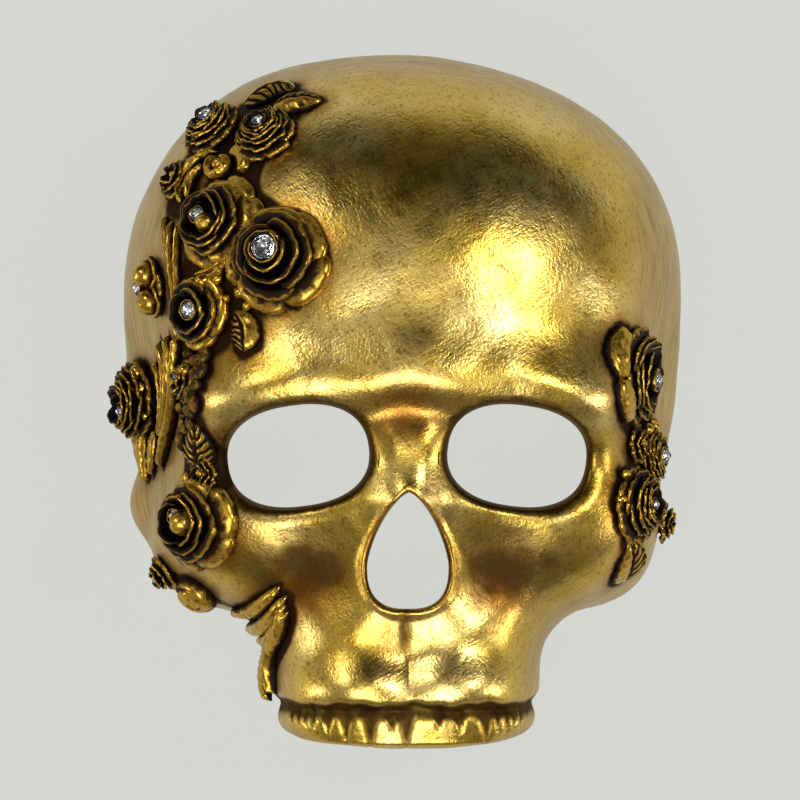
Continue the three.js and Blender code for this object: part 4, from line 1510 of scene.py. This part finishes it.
# Knobs beside the stones and lumps that fill the gaps: step from the rose's middle, radius
# and height
KNOBS = {
    "rose_temple_top": (((-1.2, -1.2), 3.4, 9.2), ((2.5, -14.5), 1.7, 3.2), ((-3, 12.5), 1.5, 3.0)),
    "rose_cheek_left": (((-0.4, 1.2), 4.2, 10.6), ((-4, 14), 1.8, 3.4), ((3, 15.5), 1.7, 3.2)),
    "rose_forehead": (((-12.5, -10), 1.8, 3.4), ((-15.5, -5), 1.6, 3.2), ((-10, -14), 1.5, 3.0)),
    "rose_temple_middle": (((3, 9.4), 2.4, 5.0), ((8, 9.8), 1.6, 3.2), ((11, 4), 1.3, 2.6)),
    "rose_temple_low": (((4, 8.5), 2.6, 5.6), ((6, 3.5), 2.3, 5.4), ((7, -5), 1.8, 4.2)),
    "rose_eye_right": (((-6, 8), 2.0, 4.0), ((-2, 10.5), 1.8, 4.2), ((2, 9), 1.6, 3.6)),
    "rose_brow_right": (((6, -10), 2.3, 5.6), ((9, -6.5), 2.0, 5.2), ((6, 9), 2.2, 4.4)),
    "rose_cheek_right": (((-6, 9.5), 1.6, 3.2), ((-9.5, 2), 1.7, 3.4), ((-2, 10), 1.5, 3.2)),
}
for name, (*measures, stone_radius) in ROSES.items():
    casting, seat = rose(name, *measures)
    for centre, size, tall in KNOBS.get(name, ()):
        ball(casting, seat, centre, size, tall)
        casting.spots.append((seat.place(*centre), size))
    stone(casting, seat, stone_radius)
print("roses:", len(ROSES))

# %% Small flowers
# Every flower: angle, height up the face, radius and height
FLOWERS = {
    "flower_crown": (-57.5, 67, 6.6, 5.0),
    "flower_temple": (-47.5, 5.5, 6.2, 4.4),
    "flower_cheek": (-45.5, -22.5, 4.8, 3.8),
    "flower_brow_right": (57, -13.5, 5.4, 4.4),
}
# Lumps between the flower at the temple, the plume and the eye: steps from the flower's middle
FILLERS = (
    (1.5, -6.5),
    (5.5, -3.5),
    (4.5, -9.0),
    (1.0, -13.0),
    (6.5, 1.5),
    (1.5, 8.5),
    (5.0, 6.5),
    (9.0, 8.0),
    (9.5, 3.5),
    (8.6, -1.0),
    (7.0, -6.5),
    (1.0, -18.0),
    (-4.5, -8.0),
    (-6.5, -13.0),
    (-3.0, -14.5),
    (-7.5, -18.0),
)
for name, (angle, y, radius, height) in FLOWERS.items():
    casting, seat = rose(name, angle, y, radius, height, (0.0, 0.0), LITTLE_ROSE, 0.09)
    if name == "flower_temple":
        stone(casting, seat, 1.8)
        ball(casting, seat, (2.6, 3.6), 2.0, 4.4)
        for step in FILLERS:
            size = chance.uniform(1.5, 2.6)
            ball(casting, seat, step, size, chance.uniform(2.2, 3.8), chance.uniform(0.7, 1.5), 0.8)
            casting.spots.append((seat.place(*step), size))
    else:
        ball(casting, seat, (0.4, 0.3), 1.7, 4.6)
print("flowers:", len(FLOWERS))

# %% Buds and the shell-like curl
casting, seat = Casting("bud_temple"), Seat(-61, 34.5)
dome(casting, seat, 6.0, 2.0)
for v, size in ((4.6, 3.9), (-4.0, 4.1)):
    ball(casting, seat, (1.4, v), size, 7.4)
    collar(casting, seat, (1.6, v), size + 0.5, 0.75, 2.0, 1.1)
petals(casting, seat, 7.6, 5.0, (0.0, 0.0), LITTLE_ROSE[:1], 0.05, 2.6)
stone(casting, seat, 1.7)
casting, seat = Casting("bud_cheek"), Seat(-69.5, -53)
dome(casting, seat, 3.6, 1.6)
petals(casting, seat, 5.6, 5.0, (-1.0, -0.6), LITTLE_ROSE, 0.06)
stone(casting, seat, 1.7)
casting, seat = Casting("bud_cheek_right"), Seat(80, -38.5)
dome(casting, seat, 3.6, 1.6)
petals(casting, seat, 5.6, 4.8, (0.0, 0.0), LITTLE_ROSE, 0.11)
ball(casting, seat, (0.4, 0.3), 1.5, 4.4)
casting, seat = Casting("curl_cheek"), Seat(-61.5, -59.0, 0.7)
whorl(casting, seat, 7.0, 5.2)
print("castings so far:", len(castings))

# %% Ribbed leaves
leaf(Casting("leaf_crown_left"), 11.5, 3.2, [(-50, 90), (-44, 94.5), (-37, 95)], 6, left=False)
crown_path = [(-38.5, 88.5), (-32, 90), (-25, 90.5)]
leaf(Casting("leaf_crown_right"), 10.5, 3.2, crown_path, 7, right=False)
forehead_path = [(-33, 14.5), (-33.5, 21), (-36, 27)]
leaf(Casting("leaf_forehead"), 10.5, 3.0, forehead_path, 6, right=False)
leaf(Casting("leaf_eye_left"), 13, 2.8, [(-46.5, -21), (-46, -14.5), (-45, -7)], 6, lean=-0.35)
cheek_path = [(61, -55.5), (56, -49.5), (52.5, -43)]
leaf(Casting("leaf_cheek_right"), 13, 2.4, cheek_path, 6, left=False, lean=0.4)
print("castings so far:", len(castings))

# %% Smooth blades, scrolls and ribbons
# Every blade: width, height, width of its ends as a share, groove, and its path
BLADES = {
    "leaf_brow_right": (
        (8.4, 3.6, 0.45, 0.0, [(47.5, 21.5), (43.8, 14.5), (44.4, 6)]),
        (7.6, 3.4, 0.35, 0.0, [(43.6, 6.5), (45, 0), (50, -6)]),
    ),
    "leaf_temple_low": (
        (5.4, 3.0, 0.4, 0.0, [(-83, -8), (-79.5, -15), (-77, -24)]),
        (6.0, 3.6, 0.4, 0.0, [(-75.5, -7.5), (-76.5, -15.5), (-76, -25.5)]),
        (4.0, 2.8, 0.3, 0.0, [(-70, -9), (-71, -15.5), (-73, -23.5)]),
    ),
    "leaf_hanging_top": (
        (5.4, 4.2, 0.3, 0.0, [(-31, -61), (-34, -69.5), (-41.5, -77), (-46, -84)]),
        (4.4, 4.2, 0.3, 0.0, [(-33, -66), (-40, -74), (-47, -80)]),
    ),
    "leaf_hanging_low": (
        (5.6, 3.8, 0.05, 0.0, [(-46, -76), (-54, -83), (-57.5, -88), (-52, -93)]),
        (3.6, 4.8, 0.05, 0.0, [(-36, -72), (-40.5, -78), (-42, -84), (-41, -90)]),
    ),
    "scroll_temple_top": (
        (5.8, 3.0, 0.5, 0.0, [(-41, 66), (-36.5, 63.5), (-33.5, 59)]),
        (5.6, 2.8, 0.4, 0.0, [(-33.5, 60), (-32, 55.5), (-34, 49.5)]),
    ),
    "scroll_temple_low": (
        (4.4, 3.2, 0.5, 0.4, [(-45.5, 37), (-41, 38.5), (-37, 43)]),
    ),
    "ribbon_cheek": (
        (5.0, 3.4, 0.4, 0.0, [(-56, -64.5), (-46, -64), (-38.5, -61), (-32, -56)]),
        (5.4, 4.4, 0.4, 0.0, [(-56, -69), (-45, -69), (-36.5, -65.5), (-30.5, -59)]),
        (4.4, 4.0, 0.4, 0.0, [(-50, -73), (-42, -73), (-35.5, -69.5), (-30.5, -63.5)]),
    ),
    "stem_temple": (
        (1.9, 2.6, 0.8, 0.0, [(-55, 55), (-53, 42.5), (-51.4, 30), (-51.8, 17.5)]),
        (1.9, 2.8, 0.8, 0.0, [(-52, 54.5), (-51, 42.5), (-50, 30), (-50.2, 17.5)]),
        (2.4, 2.8, 0.3, 0.2, [(-57.5, 56), (-55.5, 50), (-53, 42)]),
    ),
    "plume_temple": (
        (2.8, 4.0, 0.5, 0.0, [(-52, 20), (-52.4, 13), (-54.6, 4), (-58, -5), (-62.8, -14), (-67, -21)]),
        (2.4, 3.8, 0.5, 0.0, [(-57.0, 20), (-56.2, 13.5), (-57.4, 5.5), (-60.5, -3), (-65, -13)]),
        (2.4, 3.6, 0.4, 0.0, [(-62.5, 18.5), (-60.3, 12.5), (-60.2, 5), (-62.4, -3), (-66, -12)]),
        (2.4, 3.2, 0.4, 0.0, [(-67.4, 12), (-64.8, 7), (-63.8, 1), (-65, -5), (-67.5, -12)]),
        (6.0, 3.0, 0.4, 0.0, [(-58.5, -1), (-62.5, -9), (-67, -18)]),
    ),
    "scroll_crown": (
        (3.6, 3.2, 0.3, 0.0, [(-48, 75.5), (-53.5, 72.5), (-55.5, 66), (-53.5, 59.5)]),
        (3.2, 3.4, 0.3, 0.0, [(-49.5, 71), (-52, 66.5), (-51, 60.5)]),
        (6.0, 2.4, 0.6, 0.0, [(-43.5, 75.5), (-39.5, 74), (-38, 68.5)]),
    ),
}
# Blades whose outer side stands up, so that they face forward: rise for each mm across
LEANS = {"leaf_brow_right": -0.45, "leaf_temple_low": 0.3, "leaf_hanging_low": 0.3}
for name, blades in BLADES.items():
    casting = Casting(name)
    for width, height, tip, groove, path in blades:
        vine(casting, width, height, marked(path), tip, groove, LEANS.get(name, 0.0))
    if name == "scroll_crown":
        seat = Seat(-44.6, 70.4)
        spiral(casting, seat, 4.6, 0.95, 2.2, 3.2, 4.0)
        ball(casting, seat, (0.3, -0.2), 1.9, 4.6)
print("castings:", len(castings), "stones:", len(STONES))

# %% [markdown]
# ## Finishes
#
# Gold leaf is real metal, so it is a metal here, with the fine crossing scratches of the brush
# that laid it. Dark glaze was rubbed on and wiped off again: it stays in the hollows, round the
# castings and along the edges of the eyes, and the same darkening also paints in the shade that
# falls there and the shadows that the castings cast. The pale tan on the sides that turn away
# from the front is a painted reflection of the pale surroundings. Each of these is a number
# stored at every vertex. They could be painted on an unwrapped picture instead, but numbers need
# neither picture nor seams.

# %% How near the castings and the openings are
# Distances in mm stop at this value
FAR = 20.0
# Heights above which a point counts as beside the cheeks, the nose hole or the eyes
CHEEK_FRONT, NOSE_FRONT, EYE_FRONT = 40, 35, 25


def casting_distances(p):
    """Distance to the nearest casting, and a number that grows where several are near."""
    nearest = np.full(len(p), FAR)
    crowd = np.zeros(len(p))
    for casting in castings:
        gap = np.full(len(p), FAR)
        for centre, radius in casting.spots:
            gap = np.minimum(gap, np.linalg.norm(p - centre, axis=1) - radius)
        nearest = np.minimum(nearest, gap)
        crowd += bell(np.maximum(gap, 0), 5.0)
    return nearest, crowd


x, y, z = shell_points.T
casting_away, crowd = casting_distances(shell_points)
eye_away = np.where(z > EYE_FRONT, np.clip(eye_distance(x, y), 0, FAR), FAR)
# The dark band at an eye, glaze and the painted shade at the socket's edge, is up to 1.9 times
# as wide below its outer corner
low_outer = 1 + 0.9 * smooth_step((np.abs(x) - 38) / 12) * smooth_step((-y - 18) / 10)
nose_away = np.where(z > NOSE_FRONT, np.clip(nose_distance(x, y), 0, FAR), FAR)
print("shell points within 1 mm of a casting:", int((casting_away < 1).sum()))

# %% Hollows with glaze and painted shade, stains, and the painted reflection on the sides
# How far above the surface a point is tried; a hollow holds skull there, or comes near it
PROBE, PROBE_SOFT = 7.5, 5.0
outside = (shell_kind != INSIDE).astype(float)
normal = outward(shell_points)
# Depth in a hollow, darkened later: glaze that stays there and the painted shade that falls there
hollow = np.clip((PROBE - skull(shell_points + PROBE * normal)) / PROBE_SOFT, 0, 1) * outside
# Bells beside the nose hole and further out under the cheekbone, which paint the shade on the
# cheeks; one at the root of the nose, stained there and darkened with painted shade under the
# brow; and the red stain beside the upper jaw
cheek_dip = bell(np.hypot((np.abs(x) - 27) / 1.1, (y + 51) / 0.9), 11) * (z > CHEEK_FRONT)
outer_dip = bell(np.hypot((np.abs(x) - 46) / 1.2, y + 48), 9) * (z > EYE_FRONT)
root = bell(np.hypot(x / 1.3, y + 4), 8.5) * (z > CHEEK_FRONT)
stain = bell(np.hypot((np.abs(x) - 29) / 1.3, y + 58.5), 6.5) * (z > CHEEK_FRONT) + root
fossa = cheek_dip + 0.45 * outer_dip
# The dips by the nose, the root of the nose and the parting of the upper jaw join the hollows as
# painted shade
hollow = hollow * 0.6 + 1.3 * fossa + 0.6 * root + 0.9 * parting(shell_points)
# Gum groove and gaps between teeth, darkened later: glaze and painted shade in the grooves
groove = np.clip(1.1 * gum_depth(shell_points) + gap_depth(shell_points), 0, 1)
# Painted reflection of the pale surroundings on the sides: where the surface turns away from the
# front, and past 62 mm
side_reflection = 1 - smooth_step((normal[:, 2] - 0.2) / 0.45)
side_reflection = np.maximum(side_reflection, smooth_step((np.abs(x) - 62) / 14))
# Streaks run round the sides, so they follow the way from the crown and the angle round it
shell_numbers = {
    "inside": 1 - outside,
    "away": casting_away,
    "crowd": crowd,
    "hollow": np.clip(hollow, 0, 1.4) * outside,
    "eye_away": eye_away / low_outer,
    "nose_away": nose_away,
    "cut": groove * outside,
    "stain": stain * outside,
    "side_reflection": side_reflection * outside,
    "reach": np.hypot(x, y - CROWN_Y) - z,
    "round": np.abs(np.arctan2(x, y - CROWN_Y)),
}
print("shell numbers:", ", ".join(shell_numbers))

# %% Gold leaf: noises and scratches
FIBRE_SIZES = (0.0032, 0.0008, 0.001)
FIBRE_TURNS = ((0.3, 0.2, 0.5), (0.2, -0.3, 1.4), (-0.3, 0.3, 2.2), (0.1, 1.4, -0.4))
leaf_gold = Finish("gold_leaf")
ramp, blend, stored = leaf_gold.ramp, leaf_gold.blend, leaf_gold.attribute


def fibre(turn):
    """Fine scratches that all run one way: noise stretched to 3.2 by 0.8 mm and turned."""
    inputs = {"Vector": leaf_gold.place(), "Rotation": turn, "Scale": FIBRE_SIZES}
    way = leaf_gold.node("Mapping", {"vector_type": "TEXTURE"}, inputs)
    return leaf_gold.noise(1.0, 1, 0.6, way, 0.6) - 0.5


cloud = leaf_gold.noise(38, 3, 0.55)
patchy = leaf_gold.noise(130, 3, 0.6)
mottle = leaf_gold.noise(420, 3, 0.6)
first, *others = [fibre(turn) for turn in FIBRE_TURNS]
fibres = first
for other in others:
    fibres = fibres + other
sweep = {0: stored("reach") * 0.45, 1: stored("round") * 5.0}
strokes = ramp(leaf_gold.noise(1.0, 3, 0.7, leaf_gold.node("CombineXYZ", {}, sweep)), 0.35, 0.75)
spots = ramp(patchy, 0.3, 0.65)
print("nodes for the noises:", len(leaf_gold.tree.nodes))

# %% Gold leaf: where the glaze, the painted shade and the painted shadow stay
outer = 1.0 - stored("inside")
side_reflection = stored("side_reflection")
hollow = stored("hollow")
away = stored("away") + (patchy - 0.5) * 3.5 + (mottle - 0.5) * 2.0
eye_away = stored("eye_away") + (patchy - 0.5) * 3.0 + (mottle - 0.5) * 2.0
nose_away = stored("nose_away") + (patchy - 0.5) * 2.0
groove = ramp(stored("cut") + (mottle - 0.5) * 0.5, 0.08, 0.75)
# Near black in a ring round each casting and where several crowd: black glaze between them, and the
# painted shadow that the castings cast on the shell
glaze_and_cast_shadow = ramp(-away, -2.1, -0.3).larger(ramp(stored("crowd"), 1.1, 1.7))
halo = ramp(-away, -8.0, -0.5)
edge = ramp(-eye_away, -3.2, -0.6)
orange = halo * 0.75 * spots * (1.0 - side_reflection * 0.8) + ramp(-nose_away, -4.0, -1.0) * 0.5
orange = orange + stored("stain") * (0.4 + patchy)
# Brown in the hollows, at the eye's edge, near the castings, round the nose hole and in the gum groove:
# glaze and painted shade
brown = hollow * (0.6 + 0.8 * patchy) + edge * 0.9 + halo * halo * 0.35
brown = brown + ramp(-nose_away, -1.6, -0.2) * 0.5 + groove * 0.5
# Near black at the castings, the eye's edge, the grooves and the deepest hollows: glaze, painted shade
# and painted shadow
dark = glaze_and_cast_shadow + ramp(-eye_away, -1.0, 0.5) * 0.45 + groove * (0.3 + patchy)
dark = (dark + ramp(hollow + (patchy + cloud - 1.0) * 0.9, 0.45, 1.5) * 0.7).clamped()
print("nodes with the glaze:", len(leaf_gold.tree.nodes))

# %% Gold leaf: colours and surface
# Layers from the leaf itself to the black in the deepest places; BROWN and UMBER are glaze and
# painted shade together
GOLD = (0.70, 0.48, 0.09)
PALE_GOLD = (0.82, 0.63, 0.24)
OCHRE = (0.42, 0.24, 0.03)
TAN = (0.58, 0.42, 0.18)
DARK_TAN = (0.36, 0.24, 0.09)
BOLE = (0.55, 0.20, 0.015)
BROWN = (0.10, 0.045, 0.004)
UMBER = (0.035, 0.014, 0.003)
INSIDE_BROWN = (0.05, 0.035, 0.022)

colour = blend(ramp(cloud, 0.35, 0.7), GOLD, PALE_GOLD)
colour = blend(ramp(fibres, 0.0, -0.45) * 0.75, colour, OCHRE)
# TAN and DARK_TAN paint the reflection of the pale surroundings on the sides, streaked like brushed
# leaf
colour = blend(side_reflection * 0.9, colour, blend(strokes, TAN, DARK_TAN))
colour = blend(orange.clamped() * 0.75, colour, BOLE)
# BROWN and UMBER lay on the glaze, the painted shade and the painted shadow of the castings
colour = blend(brown.clamped() * 0.85, colour, BROWN)
colour = blend(dark, colour, UMBER)
colour = blend(outer, INSIDE_BROWN, colour)
rough = spots * 0.08 + 0.25 + dark * 0.25 + side_reflection * 0.18 + brown * 0.08 + (1.0 - outer) * 0.3
relief = fibres * 0.056 + leaf_gold.noise(420, 0) * 0.03 + leaf_gold.noise(130, 0) * 0.10
leaf_gold.set(
    Base_Color=colour,
    Metallic=(outer - dark * 0.6 - side_reflection * 0.12).clamped(),
    Roughness=rough.clamped(),
    Specular_IOR_Level=0.15,
    Coat_Weight=(0.22 - brown * 0.2 - dark * 0.22).clamped(),
    Coat_Roughness=0.2,
    Normal=leaf_gold.bump(relief * (1.0 - side_reflection * 0.6)),
)
print("nodes in the gold leaf:", len(leaf_gold.tree.nodes))

# %% [markdown]
# ### Antique gold and crystal
#
# On a casting the gold is rubbed over black, so only raised edges shine and every recess stays
# dark; that dark also paints the shade in the recesses, at the feet of the petals and under the
# knobs. The lift stored on each casting tells the two apart, and a fine noise frays the border
# between them. One finish for both golds would be simpler, but leaf over paper and gilt over
# resin do not wear alike. The stones are clear glass with a mirror behind, as rhinestones are.

# %% Antique gold
BLACK = (0.006, 0.0035, 0.002)
BROWN_BLACK = (0.03, 0.014, 0.004)
RUBBED_GOLD = (0.74, 0.47, 0.08)
DULL_GOLD = (0.50, 0.30, 0.05)

antique = Finish("antique_gold")
lift = antique.attribute("lift")
grime = antique.noise(420, 3, 0.6)
# Gold where the lift is high; below it black and brown-black stand for glaze and the painted shade in
# the recesses
wear_and_shade = antique.ramp(lift + (grime - 0.5) * 0.9, 0.68, 1.10)
under = antique.blend(antique.ramp(lift, 0.1, 0.6), BLACK, BROWN_BLACK)
metal = antique.blend(antique.ramp(grime, 0.35, 0.65), RUBBED_GOLD, DULL_GOLD)
antique.set(
    Base_Color=antique.blend(wear_and_shade, under, metal),
    Metallic=wear_and_shade * 0.85 + 0.1,
    Roughness=0.5 - wear_and_shade * 0.30,
    Specular_IOR_Level=0.15,
    Normal=antique.bump(grime * 0.035 + antique.noise(1300, 2, 0.6) * 0.012),
)
print("nodes in the antique gold:", len(antique.tree.nodes))

# %% Crystal
glass = Finish("crystal")
glass.set(Base_Color=(0.97, 0.98, 1.0, 1), Roughness=0.02, IOR=1.58, Transmission_Weight=1.0)
silver_back = Finish("silvered_back")
silver_back.set(Base_Color=(0.95, 0.97, 1.0, 1), Metallic=1.0, Roughness=0.08)
print("finishes:", [material.name for material in bpy.data.materials])

# %% [markdown]
# ## Pieces
#
# The real mask is put together last: the gilded shell first, then the castings, then the stones
# in their cups. Here each becomes one mesh that rides on the root body, takes the place of its
# solid and has the slot of its material. One joined mesh would look the same, but then no piece
# could be found or changed by itself.

# %% Make the shell and the castings
# The shell's doubled points lie closer together than this
SHELL_WELD = 0.0002
shell = make_piece("gilded_shell", shell_points, shell_faces, leaf_gold, shell_numbers)
weld(shell.data, SHELL_WELD * MM)
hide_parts("mask_shell")
for casting in castings:
    casting.finish(antique)
print("faces of the shell:", len(shell.data.polygons))

# %% Make the stones
# So many of the last rings of facets are the silvered back
BACK_RINGS = 3
for name, gem in STONES.items():
    facets = grid_faces(*gem.shape[:2], closed=True)
    piece = make_piece("cut_crystal_" + name, gem.reshape(-1, 3), [facets], glass, smooth=False)
    piece.data.materials.append(silver_back.material)
    back = np.arange(len(piece.data.polygons)) >= (len(CUT_RINGS) - BACK_RINGS) * FACETS
    piece.data.polygons.foreach_set("material_index", back.astype(np.int32))
    weld(piece.data, WELD * MM)
    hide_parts("crystal_" + name)
print("pieces:", 1 + len(castings) + len(STONES))
